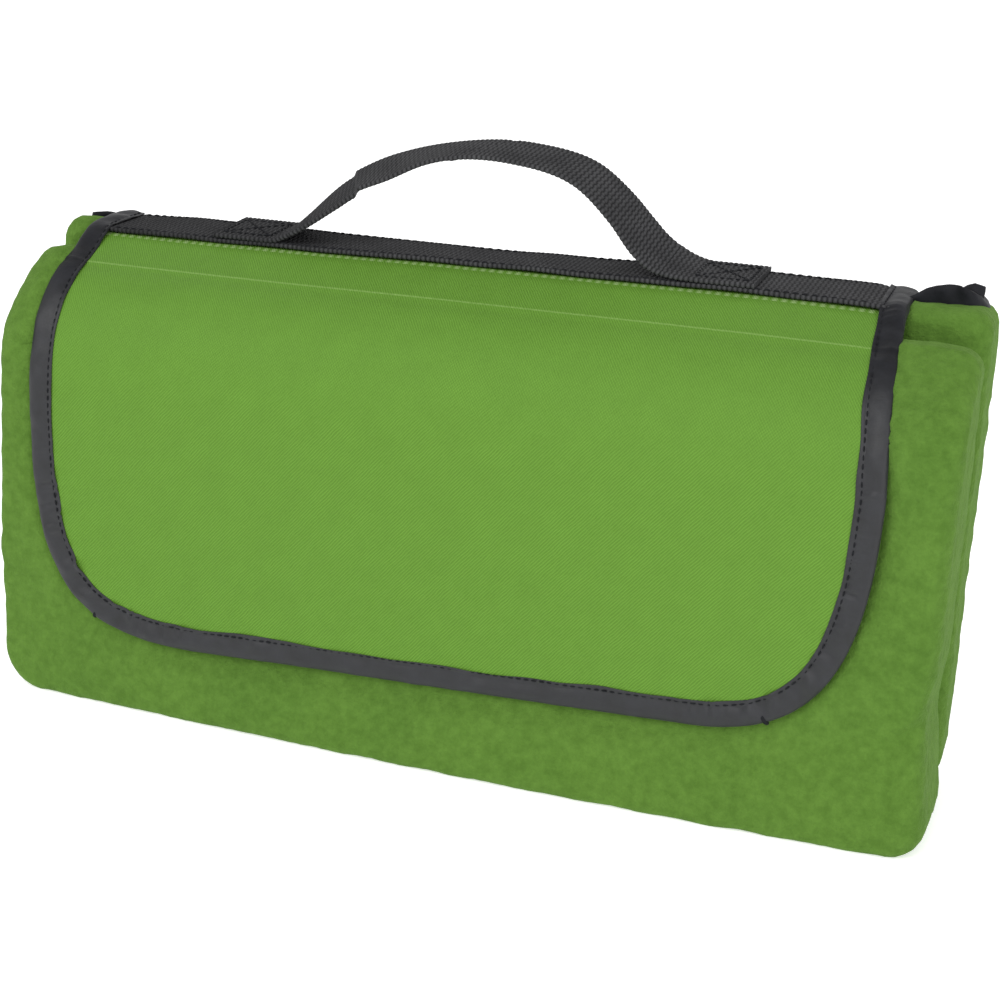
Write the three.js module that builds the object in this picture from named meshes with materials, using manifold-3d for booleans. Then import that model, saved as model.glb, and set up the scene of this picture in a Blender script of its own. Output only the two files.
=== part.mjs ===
// Folded fleece picnic blanket with a bound carry flap, a webbing seam strip and a webbing handle.
// Millimetres. X runs along the bundle, Y from front to back, Z up. The bundle stands on Z = 0.
import * as THREE from 'three';
import { mergeVertices } from 'three/addons/utils/BufferGeometryUtils.js';
import Module from 'manifold-3d';

const wasm = await Module();
wasm.setup();

// Driving dimensions of the folded blanket.
const HALF_LENGTH = 155;
const FRONT_Y = -33.7;
const REAR_Y = 33;
const SPLIT_Y = 2; // where the front slab and the rear slab meet
const FOLD_GAP = 0.5;
const FOLD_WALL = 17; // solid part at the closed end of each fold
const FOLD_JOIN = 6; // half the depth of the block that joins the two slabs
const END_RADIUS = 9;
const BASE_RADIUS = 9;
const FRONT_CROWN = new THREE.Vector2(-11, 144.4); // (Y, Z) of the front slab's top
const VALLEY_Z = 139; // bottom of the valley between the two slabs' tops
const REAR_FRONT_Z = 151.3; // top of the rear slab at its front
const REAR_TOP_Z = 155;
const SHOULDER = 22; // soft top left corner of the bundle
const FACE_RADII = [12, 8, 8, SHOULDER]; // corners seen from the front, from the lower left round

// The flap: its outer face seen from the side, from the seam down to the bottom edge.
const STRIP_WIDTH = 24.5; // webbing strip over the seam
const SEAM = new THREE.Vector2(0, 153.6); // (Y, Z) where the flap leaves the strip
const SEAM_REAR = new THREE.Vector2(STRIP_WIDTH, 157);
const DRAPE_START = new THREE.Vector2(-18, 143);
const FLAP_FACE_Y = -37.3;
const DRAPE_CONTROL_Z = 131.6;
const DRAPE_END_Z = 98;
const CREASE_Y = -13; // fold line across the flap

// The flap seen from the front.
const FLAP_LEFT = -143.4;
const FLAP_RIGHT_TOP = 129.8;
const FLAP_RIGHT = 134.4;
const FLAP_BOTTOM_LEFT = new THREE.Vector2(-86, 24.6);
const FLAP_BOTTOM_RIGHT = new THREE.Vector2(80, 30);
const CORNER_TOP_Z = 108;
const CORNER_FULLNESS = 0.72; // share of each corner that its curve handles cover

// Thicknesses and clearances.
const PANEL = 0.8;
const TAPE = 0.7;
const WEBBING = 1.5;
const GAP = 0.3;
const BINDING_WIDTH = 8;
const HINGE_GAP = 0.35;
const THREAD = 0.8; // width of a row of stitches
const THREAD_CLEARANCE = 0.05;
const THREAD_FROM_EDGE = 1.4;

// The handle: a strap that stands up from two sewn ends.
const HANDLE_MID_X = -9;
const HANDLE_HALF_SPAN = 65;
const HANDLE_FOOT_Z = 157.5;
const HANDLE_RISE = 35.5;
const HANDLE_FLEX = 51; // distance from the middle to the place where each leg flexes
const TAB_LENGTH = { left: 22.5, right: 28 };
const TAB_OVERLAP = 0.4; // how far the tab runs in under the leg
const TAB_LEG_REACH = 5;
const STRAP_HALF_WIDTH = 12.25;

// Touch fastener.
const FASTENER = { left: -66, right: 54, bottom: 44, height: 20, thick: 1 };

// Backing sheet inside the rear slab and the tape over its edge.
const SHEET = 0.8;
const SHEET_FRONT_Y = 9;
const SHEET_REAR_Y = 27.5;
const SHEET_TURN_X = 140;
const SHEET_LEFT_X = -140;
const SHEET_BOTTOM_Z = 8;
const EDGE_TAPE_HALF = 1.4;
const EDGE_TAPE_LOW_Z = 150.6;
const EDGE_TAPE_TOP_Z = 159.4;
const EDGE_TAPE_FRONT_X = 132.8; // where the tape comes out beside the strip

const ARC_STEPS = 6;
const CURVE_STEPS = 10;
const ARCH_STEPS = 25; // odd, so that the middle of the handle is one flat facet
const FAR = 400;

const finishes = {
  fleece: new THREE.MeshStandardMaterial({ color: 0x608639, roughness: 0.95, metalness: 0 }),
  panel: new THREE.MeshStandardMaterial({ color: 0x6c9b3e, roughness: 0.75, metalness: 0 }),
  tape: new THREE.MeshStandardMaterial({ color: 0x33363c, roughness: 0.45, metalness: 0 }),
  webbing: new THREE.MeshStandardMaterial({ color: 0x3a3a3c, roughness: 0.8, metalness: 0 }),
  backing: new THREE.MeshStandardMaterial({ color: 0x24262b, roughness: 0.3, metalness: 0 }),
  thread: new THREE.MeshStandardMaterial({ color: 0x1e1f22, roughness: 0.7, metalness: 0 }),
  fastener: new THREE.MeshStandardMaterial({ color: 0x232426, roughness: 0.9, metalness: 0 }),
};

// ---------- solids ----------

function toManifold(geometry) {
  const bare = geometry.clone();
  bare.deleteAttribute('normal');
  bare.deleteAttribute('uv');
  const merged = mergeVertices(bare, 1e-4);
  const vertProperties = new Float32Array(merged.attributes.position.array);
  const triVerts = new Uint32Array(merged.index.array);
  return new wasm.Manifold(new wasm.Mesh({ numProp: 3, vertProperties, triVerts }));
}

function toGeometry(solid) {
  const mesh = solid.getMesh();
  const geometry = new THREE.BufferGeometry();
  geometry.setAttribute('position', new THREE.BufferAttribute(mesh.vertProperties, 3));
  geometry.setIndex(new THREE.BufferAttribute(mesh.triVerts, 1));
  geometry.computeVertexNormals();
  return geometry;
}

// Extrudes a closed outline and turns it with the given axes: outline X, outline Y, extrusion.
function prism(outline, axes, from, to) {
  const shape = outline instanceof THREE.Shape ? outline : new THREE.Shape(outline);
  const settings = { depth: to - from, bevelEnabled: false, curveSegments: ARC_STEPS };
  const geometry = new THREE.ExtrudeGeometry(shape, settings);
  geometry.translate(0, 0, from);
  geometry.applyMatrix4(new THREE.Matrix4().makeBasis(...axes));
  return toManifold(geometry);
}

const AXIS = {
  x: new THREE.Vector3(1, 0, 0),
  y: new THREE.Vector3(0, 1, 0),
  z: new THREE.Vector3(0, 0, 1),
  front: new THREE.Vector3(0, -1, 0),
};
const alongX = (outline, from, to) => prism(outline, [AXIS.y, AXIS.z, AXIS.x], from, to);
const alongZ = (outline, from, to) => prism(outline, [AXIS.x, AXIS.y, AXIS.z], from, to);
const throughY = (outline) => prism(outline, [AXIS.x, AXIS.z, AXIS.front], -FAR, FAR);
const strapY = (outline) => {
  const middle = STRIP_WIDTH / 2;
  const low = -middle - STRAP_HALF_WIDTH;
  const high = -middle + STRAP_HALF_WIDTH;
  return prism(outline, [AXIS.x, AXIS.z, AXIS.front], low, high);
};

function rectangle(left, low, right, high) {
  return [
    new THREE.Vector2(left, low),
    new THREE.Vector2(right, low),
    new THREE.Vector2(right, high),
    new THREE.Vector2(left, high),
  ];
}

// A rectangle whose corners, from the lower left round to the upper left, have their own radii.
function roundedRectangle(left, low, right, high, radii) {
  const [lowerLeft, lowerRight, upperRight, upperLeft] = radii;
  const shape = new THREE.Shape();
  shape.moveTo(left + lowerLeft, low);
  shape.lineTo(right - lowerRight, low);
  shape.absarc(right - lowerRight, low + lowerRight, lowerRight, -Math.PI / 2, 0);
  shape.lineTo(right, high - upperRight);
  shape.absarc(right - upperRight, high - upperRight, upperRight, 0, Math.PI / 2);
  shape.lineTo(left + upperLeft, high);
  shape.absarc(left + upperLeft, high - upperLeft, upperLeft, Math.PI / 2, Math.PI);
  shape.lineTo(left, low + lowerLeft);
  shape.absarc(left + lowerLeft, low + lowerLeft, lowerLeft, Math.PI, 1.5 * Math.PI);
  return shape;
}

// The closed band between two offsets of an open line; positive offsets lie to the line's left.
function band(line, offsetA, offsetB) {
  const shifted = (offset) => line.map((point, i) => {
    const before = line[Math.max(i - 1, 0)];
    const after = line[Math.min(i + 1, line.length - 1)];
    const into = point.clone().sub(before).normalize();
    const out = after.clone().sub(point).normalize();
    if (i === 0) into.copy(out);
    if (i === line.length - 1) out.copy(into);
    const miter = new THREE.Vector2(-into.y - out.y, into.x + out.x).normalize();
    const stretch = miter.dot(new THREE.Vector2(-out.y, out.x));
    return point.clone().addScaledVector(miter, offset / stretch);
  });
  return [...shifted(offsetA), ...shifted(offsetB).reverse()];
}

// ---------- the folded blanket ----------

// The bundle from the side. The front slab's rounded top follows the flap in front and falls into
// a valley behind; the rear slab's top follows the strip.
function sideProfile() {
  const shape = new THREE.Shape();
  shape.moveTo(FRONT_Y + BASE_RADIUS, 0);
  shape.lineTo(REAR_Y - BASE_RADIUS, 0);
  shape.absarc(REAR_Y - BASE_RADIUS, BASE_RADIUS, BASE_RADIUS, -Math.PI / 2, 0);
  shape.lineTo(REAR_Y, REAR_TOP_Z - BASE_RADIUS / 2);
  shape.quadraticCurveTo(REAR_Y, REAR_TOP_Z, REAR_Y - BASE_RADIUS / 2, REAR_TOP_Z);
  shape.lineTo(STRIP_WIDTH, REAR_TOP_Z - 0.3);
  shape.lineTo(SPLIT_Y + 1.5, REAR_FRONT_Z);
  shape.lineTo(SPLIT_Y, REAR_FRONT_Z - 1.5);
  shape.lineTo(SPLIT_Y, VALLEY_Z);
  shape.quadraticCurveTo(SPLIT_Y - 2, FRONT_CROWN.y, FRONT_CROWN.x, FRONT_CROWN.y);
  shape.lineTo(DRAPE_START.x + 1.5, DRAPE_START.y - 2);
  shape.quadraticCurveTo(FRONT_Y, DRAPE_CONTROL_Z - 0.8, FRONT_Y, DRAPE_END_Z);
  shape.lineTo(FRONT_Y, BASE_RADIUS);
  shape.quadraticCurveTo(FRONT_Y, 0, FRONT_Y + BASE_RADIUS, 0);
  return shape;
}

// The line of the backing sheet seen from above: along the rear slab's front layer, round the
// fold at the right end and back along its rear layer.
function sheetLine(frontFrom, rearTo) {
  const middle = (SHEET_FRONT_Y + SHEET_REAR_Y) / 2;
  const radius = (SHEET_REAR_Y - SHEET_FRONT_Y) / 2;
  const line = [new THREE.Vector2(frontFrom, SHEET_FRONT_Y)];
  for (let i = 0; i <= CURVE_STEPS; i++) {
    const angle = -Math.PI / 2 + (Math.PI * i) / CURVE_STEPS;
    const x = SHEET_TURN_X + radius * Math.cos(angle);
    line.push(new THREE.Vector2(x, middle + radius * Math.sin(angle)));
  }
  line.push(new THREE.Vector2(rearTo, SHEET_REAR_Y));
  return line;
}

// Two slabs that fold into each other at the left end; each is itself folded at the right end.
function fleeceBlanket() {
  const radii = [END_RADIUS, END_RADIUS, END_RADIUS, END_RADIUS];
  const half = FOLD_GAP / 2;
  const height = REAR_TOP_Z + 1;
  const front = roundedRectangle(-HALF_LENGTH, FRONT_Y, HALF_LENGTH, SPLIT_Y - half, radii);
  const rear = roundedRectangle(-HALF_LENGTH, SPLIT_Y + half, HALF_LENGTH, REAR_Y, radii);
  const left = 1 - HALF_LENGTH;
  const joined = rectangle(left, SPLIT_Y - FOLD_JOIN, left + FOLD_WALL, SPLIT_Y + FOLD_JOIN);
  let solid = alongZ(front, 0, height).add(alongZ(rear, 0, height)).add(alongZ(joined, 0, height));
  for (const middle of [(FRONT_Y + SPLIT_Y) / 2, (SPLIT_Y + REAR_Y) / 2]) {
    const open = rectangle(-FAR, middle - half, HALF_LENGTH - FOLD_WALL, middle + half);
    solid = solid.subtract(alongZ(open, -1, FAR));
  }
  const face = roundedRectangle(-HALF_LENGTH, 0, HALF_LENGTH, height, FACE_RADII);
  solid = solid.intersect(alongX(sideProfile(), -FAR, FAR)).intersect(throughY(face));
  const slot = SHEET / 2 + GAP;
  const line = sheetLine(SHEET_LEFT_X - GAP, SHEET_LEFT_X - GAP);
  solid = solid.subtract(alongZ(band(line, slot, -slot), SHEET_BOTTOM_Z - GAP, FAR));
  const mouth = EDGE_TAPE_HALF + GAP;
  const tapeLine = sheetLine(EDGE_TAPE_FRONT_X - GAP, SHEET_LEFT_X - GAP);
  return solid.subtract(alongZ(band(tapeLine, mouth, -mouth), EDGE_TAPE_LOW_Z - GAP, FAR));
}

function waterproofBacking() {
  const under = SEAM.y - 4; // below the sewn seam, where the sheet meets the strip
  const line = sheetLine(SHEET_LEFT_X, SHEET_LEFT_X);
  return alongZ(band(line, SHEET / 2, -SHEET / 2), SHEET_BOTTOM_Z, under);
}

function edgeTape() {
  const line = sheetLine(EDGE_TAPE_FRONT_X, SHEET_LEFT_X);
  const inner = EDGE_TAPE_HALF - TAPE;
  const outside = alongZ(band(line, EDGE_TAPE_HALF, -EDGE_TAPE_HALF), EDGE_TAPE_LOW_Z, EDGE_TAPE_TOP_Z);
  const long = sheetLine(-FAR, -FAR);
  return outside.subtract(alongZ(band(long, inner, -inner), 0, EDGE_TAPE_TOP_Z - TAPE));
}

// ---------- the flap ----------

// The flap's outer face from the side; overrun lengthens the rear end, for cuts that pass through.
function flapLine(overrun) {
  const rear = SEAM_REAR.clone().sub(SEAM).setLength(SEAM_REAR.distanceTo(SEAM) + overrun).add(SEAM);
  const corner = new THREE.Vector2(FLAP_FACE_Y, DRAPE_CONTROL_Z);
  const end = new THREE.Vector2(FLAP_FACE_Y, DRAPE_END_Z);
  const drape = new THREE.QuadraticBezierCurve(DRAPE_START, corner, end);
  const bottom = new THREE.Vector2(FLAP_FACE_Y, 0);
  return [rear, SEAM, ...drape.getPoints(CURVE_STEPS), bottom];
}

// A sheet that follows the flap's outer face between two depths below it.
const flapSheet = (from, to) => alongX(band(flapLine(0), from, to), -FAR, FAR);
const flapPocket = (from, to) => alongX(band(flapLine(20), from, to), -FAR, FAR);

// The flap's outline seen from the front, moved inwards by inset.
function flapOutline(inset) {
  const left = FLAP_LEFT + inset;
  const right = FLAP_RIGHT - inset;
  const lowLeft = FLAP_BOTTOM_LEFT.clone().add(new THREE.Vector2(0, inset));
  const lowRight = FLAP_BOTTOM_RIGHT.clone().add(new THREE.Vector2(0, inset));
  const away = 1 - CORNER_FULLNESS;
  const shape = new THREE.Shape();
  shape.moveTo(left, FAR);
  shape.lineTo(left, CORNER_TOP_Z);
  shape.bezierCurveTo(
    left, THREE.MathUtils.lerp(lowLeft.y, CORNER_TOP_Z, away),
    THREE.MathUtils.lerp(lowLeft.x, left, CORNER_FULLNESS), lowLeft.y,
    lowLeft.x, lowLeft.y,
  );
  shape.lineTo(lowRight.x, lowRight.y);
  shape.bezierCurveTo(
    THREE.MathUtils.lerp(lowRight.x, right, CORNER_FULLNESS), lowRight.y,
    right, THREE.MathUtils.lerp(lowRight.y, CORNER_TOP_Z, away),
    right, CORNER_TOP_Z,
  );
  shape.lineTo(FLAP_RIGHT_TOP - inset, SEAM.y);
  shape.lineTo(FLAP_RIGHT_TOP - inset, FAR);
  return shape;
}
const flapArea = (inset) => throughY(flapOutline(inset));

// The hinge lines of the flap lie on the outermost face of its bound edge.
const creaseZ = THREE.MathUtils.mapLinear(CREASE_Y, SEAM.x, DRAPE_START.x, SEAM.y, DRAPE_START.y);
const slope = new THREE.Vector2().subVectors(DRAPE_START, SEAM).normalize();

// Half-space beyond a cut square to the flap at the point (y, z), towards its bottom edge.
function beyond(y, z, shift) {
  const across = new THREE.Vector2(-slope.y, slope.x);
  const start = new THREE.Vector2(y, z).addScaledVector(slope, shift);
  const corners = [
    start.clone().addScaledVector(across, FAR),
    start.clone().addScaledVector(across, -FAR),
    start.clone().addScaledVector(across, -FAR).addScaledVector(slope, FAR),
    start.clone().addScaledVector(across, FAR).addScaledVector(slope, FAR),
  ];
  return alongX(corners, -FAR, FAR);
}
const belowCrease = () => beyond(CREASE_Y, creaseZ, HINGE_GAP);
const pastCrease = () => beyond(CREASE_Y, creaseZ, -HINGE_GAP);
const inFront = (y) => alongX(rectangle(-FAR, -FAR, y, FAR), -FAR, FAR);
const behind = (y) => alongX(rectangle(y, -FAR, FAR, FAR), -FAR, FAR);

const upperPart = (solid) => solid.intersect(inFront(SEAM.x - HINGE_GAP)).subtract(pastCrease());
const lowerPart = (solid) => solid.intersect(belowCrease()).intersect(inFront(SEAM.x));

const flapPanel = () => flapSheet(0, PANEL).intersect(flapArea(TAPE + GAP));

// Folded tape round the edge of the flap: outer leaf, turned edge and inner leaf.
function flapBinding() {
  const proud = GAP + TAPE;
  const outside = flapSheet(-proud, PANEL + proud);
  const ring = flapArea(0).subtract(flapArea(BINDING_WIDTH));
  const pocket = flapPocket(-GAP, PANEL + GAP).intersect(flapArea(TAPE));
  return outside.intersect(ring).subtract(pocket);
}

function half(solid, side) {
  const right = alongX(rectangle(-FAR, -FAR, FAR, FAR), 0, FAR);
  return side === 'right' ? solid.intersect(right) : solid.subtract(right);
}

// The thread along the inner edge of the bound edge.
function bindingThread() {
  const top = -(GAP + TAPE + THREAD_CLEARANCE);
  const row = BINDING_WIDTH - THREAD_FROM_EDGE;
  const line = flapArea(row - THREAD).subtract(flapArea(row));
  return lowerPart(flapSheet(top - THREAD / 3, top).intersect(line));
}

function fastenerStrip(near, far) {
  const { left, right, bottom, height } = FASTENER;
  const radii = [2, 2, 2, 2];
  const area = throughY(roundedRectangle(left, bottom, right, bottom + height, radii));
  return flapSheet(near, far).intersect(area);
}

// ---------- the seam strip ----------

const seamSheet = (from, to) => flapSheet(from, to).intersect(behind(SEAM.x + HINGE_GAP));
const seamPanel = () => flapPanel().intersect(behind(SEAM.x + HINGE_GAP));
const WEBBING_TOP = -(GAP + WEBBING);

function baseWebbing() {
  return seamSheet(WEBBING_TOP, -GAP).intersect(flapArea(TAPE + GAP));
}

// The flap's edge tape carries on over both ends of the strip.
function stripEndTape() {
  const proud = GAP + TAPE;
  const outside = seamSheet(WEBBING_TOP - proud, PANEL + proud);
  const ring = flapArea(0).subtract(flapArea(BINDING_WIDTH));
  const pocket = flapPocket(WEBBING_TOP - GAP, PANEL + GAP).intersect(flapArea(TAPE));
  return outside.intersect(ring).subtract(pocket);
}

function stripThread(y) {
  const top = WEBBING_TOP - THREAD_CLEARANCE / 2;
  const edge = BINDING_WIDTH + GAP;
  const across = rectangle(y - THREAD / 2, 0, y + THREAD / 2, FAR);
  const row = alongX(across, FLAP_LEFT + edge, FLAP_RIGHT_TOP - edge);
  return flapSheet(top - THREAD / 4, top).intersect(row);
}

// ---------- the handle ----------

function archLine() {
  const foot = HANDLE_FOOT_Z;
  const start = new THREE.Vector2(HANDLE_MID_X - HANDLE_HALF_SPAN, foot);
  const crown = new THREE.Vector2(HANDLE_MID_X, foot + 2 * HANDLE_RISE);
  const end = new THREE.Vector2(HANDLE_MID_X + HANDLE_HALF_SPAN, foot);
  const arch = new THREE.QuadraticBezierCurve(start, crown, end).getPoints(ARCH_STEPS);
  const drop = new THREE.Vector2(0, -8);
  return [start.clone().add(drop), ...arch, end.clone().add(drop)];
}
const flexZ = HANDLE_FOOT_Z + HANDLE_RISE * (1 - (HANDLE_FLEX / HANDLE_HALF_SPAN) ** 2);

const arch = () => strapY(band(archLine(), WEBBING / 2, -WEBBING / 2));

function handleLoop() {
  const reach = HANDLE_FLEX - HINGE_GAP;
  const middle = throughY(rectangle(HANDLE_MID_X - reach, 0, HANDLE_MID_X + reach, FAR));
  return arch().intersect(middle);
}

// One sewn end of the handle: a flat tab on the strip and the foot of the leg above it.
function handleEnd(side) {
  const sign = side === 'right' ? 1 : -1;
  const foot = HANDLE_MID_X + sign * HANDLE_HALF_SPAN;
  const flex = HANDLE_MID_X + sign * (HANDLE_FLEX + HINGE_GAP);
  const underside = WEBBING_TOP - GAP;
  const ends = [foot - sign * TAB_OVERLAP, foot + sign * TAB_LENGTH[side]].sort((a, b) => a - b);
  const width = alongX(rectangle(0, 0, STRIP_WIDTH, FAR), ...ends);
  const tab = flapSheet(underside - WEBBING, underside).intersect(width);
  const legSide = [flex, foot + sign * TAB_LEG_REACH].sort((a, b) => a - b);
  const leg = arch().intersect(alongX(rectangle(-FAR, 0, FAR, FAR), ...legSide));
  return tab.add(leg.subtract(underStrip(underside)));
}

// Everything below the plane that lies above the strip's line by the given (negative) depth.
function underStrip(depth) {
  const along = new THREE.Vector2().subVectors(SEAM_REAR, SEAM).normalize();
  const rear = SEAM.clone().addScaledVector(along, 100);
  const front = SEAM.clone().addScaledVector(along, -100);
  return alongX(band([rear, front], depth, 200), -FAR, FAR);
}

function tabThread(side) {
  const sign = side === 'right' ? 1 : -1;
  const foot = HANDLE_MID_X + sign * HANDLE_HALF_SPAN;
  const ends = [foot + sign * 3, foot + sign * (TAB_LENGTH[side] - 2)].sort((a, b) => a - b);
  const margin = 3;
  const outer = alongX(rectangle(margin, 0, STRIP_WIDTH - margin, FAR), ...ends);
  const inset = margin + THREAD;
  const hole = rectangle(inset, 0, STRIP_WIDTH - inset, FAR);
  const inner = alongX(hole, ends[0] + THREAD, ends[1] - THREAD);
  const top = WEBBING_TOP - GAP - WEBBING - THREAD_CLEARANCE;
  return flapSheet(top - THREAD / 2, top).intersect(outer.subtract(inner));
}

// ---------- the assembly ----------

const blanket = new THREE.Group();

function add(name, solid, finish) {
  const mesh = new THREE.Mesh(toGeometry(solid), finishes[finish].clone());
  mesh.name = name;
  blanket.add(mesh);
}

add('fleece_blanket', fleeceBlanket(), 'fleece');
add('waterproof_backing', waterproofBacking(), 'backing');
add('blanket_edge_tape', edgeTape(), 'tape');
add('loop_fastener', fastenerStrip(2.4, 3.3), 'fastener');

add('flap_seam_allowance', seamPanel(), 'panel');
add('seam_webbing', baseWebbing(), 'webbing');
add('seam_stitching_front', stripThread(2.5), 'thread');
add('seam_stitching_rear', stripThread(STRIP_WIDTH - 2), 'thread');

for (const side of ['left', 'right']) {
  add(`strip_end_tape_${side}`, half(stripEndTape(), side), 'tape');
  add(`handle_end_${side}`, handleEnd(side), 'webbing');
  add(`handle_end_stitching_${side}`, tabThread(side), 'thread');
  add(`flap_tape_upper_${side}`, half(upperPart(flapBinding()), side), 'tape');
}
add('flap_panel_upper', upperPart(flapPanel()), 'panel');
add('flap_panel_lower', lowerPart(flapPanel()), 'panel');
add('flap_tape_lower', lowerPart(flapBinding()), 'tape');
add('flap_tape_stitching', bindingThread(), 'thread');
add('hook_fastener', fastenerStrip(PANEL + GAP, PANEL + GAP + FASTENER.thick), 'fastener');
add('handle_loop', handleLoop(), 'webbing');

export default blanket;
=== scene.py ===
import math

import bpy
import numpy as np
from mathutils import Matrix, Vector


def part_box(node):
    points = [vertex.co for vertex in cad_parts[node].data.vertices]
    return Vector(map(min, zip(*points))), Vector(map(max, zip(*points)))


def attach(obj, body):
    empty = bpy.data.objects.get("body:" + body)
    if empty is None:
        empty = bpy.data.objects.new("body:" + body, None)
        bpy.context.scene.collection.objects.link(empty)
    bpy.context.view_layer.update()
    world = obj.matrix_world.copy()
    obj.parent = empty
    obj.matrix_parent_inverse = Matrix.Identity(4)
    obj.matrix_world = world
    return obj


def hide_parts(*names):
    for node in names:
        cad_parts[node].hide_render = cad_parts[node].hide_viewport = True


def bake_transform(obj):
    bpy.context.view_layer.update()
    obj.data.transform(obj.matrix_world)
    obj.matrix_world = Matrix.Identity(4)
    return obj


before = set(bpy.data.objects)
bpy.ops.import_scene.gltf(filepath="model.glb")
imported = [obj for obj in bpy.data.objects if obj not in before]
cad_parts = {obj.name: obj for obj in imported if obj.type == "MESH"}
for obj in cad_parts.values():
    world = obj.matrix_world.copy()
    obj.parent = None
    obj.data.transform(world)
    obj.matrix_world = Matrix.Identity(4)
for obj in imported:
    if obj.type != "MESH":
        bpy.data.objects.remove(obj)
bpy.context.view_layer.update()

MM = 0.001
TAU = 2 * math.pi


def box_mm(node):
    """Lowest and highest corner of a CAD node, in millimetres."""
    low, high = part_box(node)
    return np.array(low) / MM, np.array(high) / MM


FLEECE_LOW, FLEECE_HIGH = box_mm("fleece_blanket")
TAPE_LOW, TAPE_HIGH = box_mm("flap_tape_lower")
WEB_LOW, WEB_HIGH = box_mm("seam_webbing")
EDGE_LOW, EDGE_HIGH = box_mm("blanket_edge_tape")
HOOK_LOW, HOOK_HIGH = box_mm("hook_fastener")
LOOP_LOW, LOOP_HIGH = box_mm("loop_fastener")
SEAM_HIGH = box_mm("flap_seam_allowance")[1]


# ---------------------------------------------------------------- numbers and noise

def smooth_step(value, low, high):
    t = np.clip((np.asarray(value, float) - low) / (high - low), 0, 1)
    return t * t * (3 - 2 * t)


def bump_at(value, middle, width):
    return np.exp(-(((np.asarray(value, float) - middle) / width) ** 2))


def ripple(points, wavelength, seed, waves=14):
    """A smooth random field of about unit size at the points, which may be of any dimension."""
    points = np.asarray(points, float)
    draw = np.random.default_rng(seed)
    directions = draw.normal(size=(waves, points.shape[-1]))
    directions /= np.linalg.norm(directions, axis=1)[:, None]
    numbers = TAU / wavelength * draw.uniform(0.65, 1.35, waves)
    phases = draw.uniform(0, TAU, waves)
    field = np.zeros(points.shape[:-1])
    for direction, number, phase in zip(directions, numbers, phases):
        field += np.sin(points @ direction * number + phase)
    return field * math.sqrt(2 / waves)


def bezier(a, b, c, d, t):
    t = np.asarray(t)[:, None]
    s = 1 - t
    return s**3 * a + 3 * s * s * t * b + 3 * s * t * t * c + t**3 * d


def unit(vectors):
    return vectors / np.linalg.norm(vectors, axis=-1)[..., None]


def joined(*parts):
    """Coordinates side by side in a last axis; single numbers are repeated as needed."""
    return np.stack(np.broadcast_arrays(*parts), axis=-1)


def arc_length(line):
    steps = np.linalg.norm(np.diff(line, axis=0), axis=1)
    return np.concatenate([[0], np.cumsum(steps)])


def resampled(line, count):
    """The line as count points, spaced evenly."""
    length = arc_length(line)
    at = np.linspace(0, length[-1], count)
    return joined(*(np.interp(at, length, values) for values in np.transpose(line)))


def spaced(line, step):
    """The line as points about step apart."""
    return resampled(line, max(2, int(round(arc_length(line)[-1] / step)) + 1))


def along_across(path):
    """Unit vectors along a flat path and square to it, at each of its points."""
    along = unit(np.gradient(path, axis=0))
    return along, joined(along[:, 1], -along[:, 0])


# ---------------------------------------------------------------- meshes

def add_piece(name, mesh, material, nodes, hold, uv=None, normals=None):
    """Adds a piece from points in millimetres and faces. It takes the place of CAD nodes, and hold
    ties it to a body or only bakes its transform. uv gives each point a place on the cloth; normals
    may fix the shading normal of some points and are zero for the others."""
    points, faces = mesh
    mesh = bpy.data.meshes.new(name)
    mesh.from_pydata((np.asarray(points, float) * MM).tolist(), [], [list(f) for f in faces])
    if uv is not None:
        corner = np.zeros(len(mesh.loops), np.int32)
        mesh.loops.foreach_get("vertex_index", corner)
        layer = mesh.uv_layers.new(name="cloth")
        layer.data.foreach_set("uv", (np.asarray(uv, float)[corner] * MM).astype(np.float32).ravel())
    mesh.shade_smooth()
    if normals is not None:
        mesh.normals_split_custom_set_from_vertices(normals.tolist())
    mesh.materials.append(material)
    piece = bpy.data.objects.new(name, mesh)
    bpy.context.scene.collection.objects.link(piece)
    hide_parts(*nodes)
    hold(piece)


def on_bundle(piece):
    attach(piece, "bundle")


def grid_faces(rows, columns, start=0, flip=False):
    i, j = np.meshgrid(np.arange(rows - 1), np.arange(columns - 1), indexing="ij")
    a = start + i * columns + j
    quads = joined(a, a + 1, a + columns + 1, a + columns).reshape(-1, 4)
    return quads[:, ::-1] if flip else quads


def loft(rings):
    """Points and faces of a closed body through closed rings of equal size. The caps at both ends
    have points of their own, so that their edges stay crisp."""
    rings = np.asarray(rings, float)
    count, around = rings.shape[:2]
    i, j = np.meshgrid(np.arange(count - 1), np.arange(around), indexing="ij")
    a = i * around + j
    b = i * around + (j + 1) % around
    quads = joined(a, b, b + around, a + around).reshape(-1, 4).tolist()
    last = count * around
    caps = [list(range(last, last + around))[::-1], list(range(last + around, last + 2 * around))]
    return np.concatenate([rings.reshape(-1, 3), rings[0], rings[-1]]), quads + caps


def with_caps(ring_values):
    """Values for the points of a loft from the values for its rings."""
    values = np.asarray(ring_values, float)
    flat = values.reshape(-1, values.shape[-1])
    return np.concatenate([flat, values[0], values[-1]])


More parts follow.
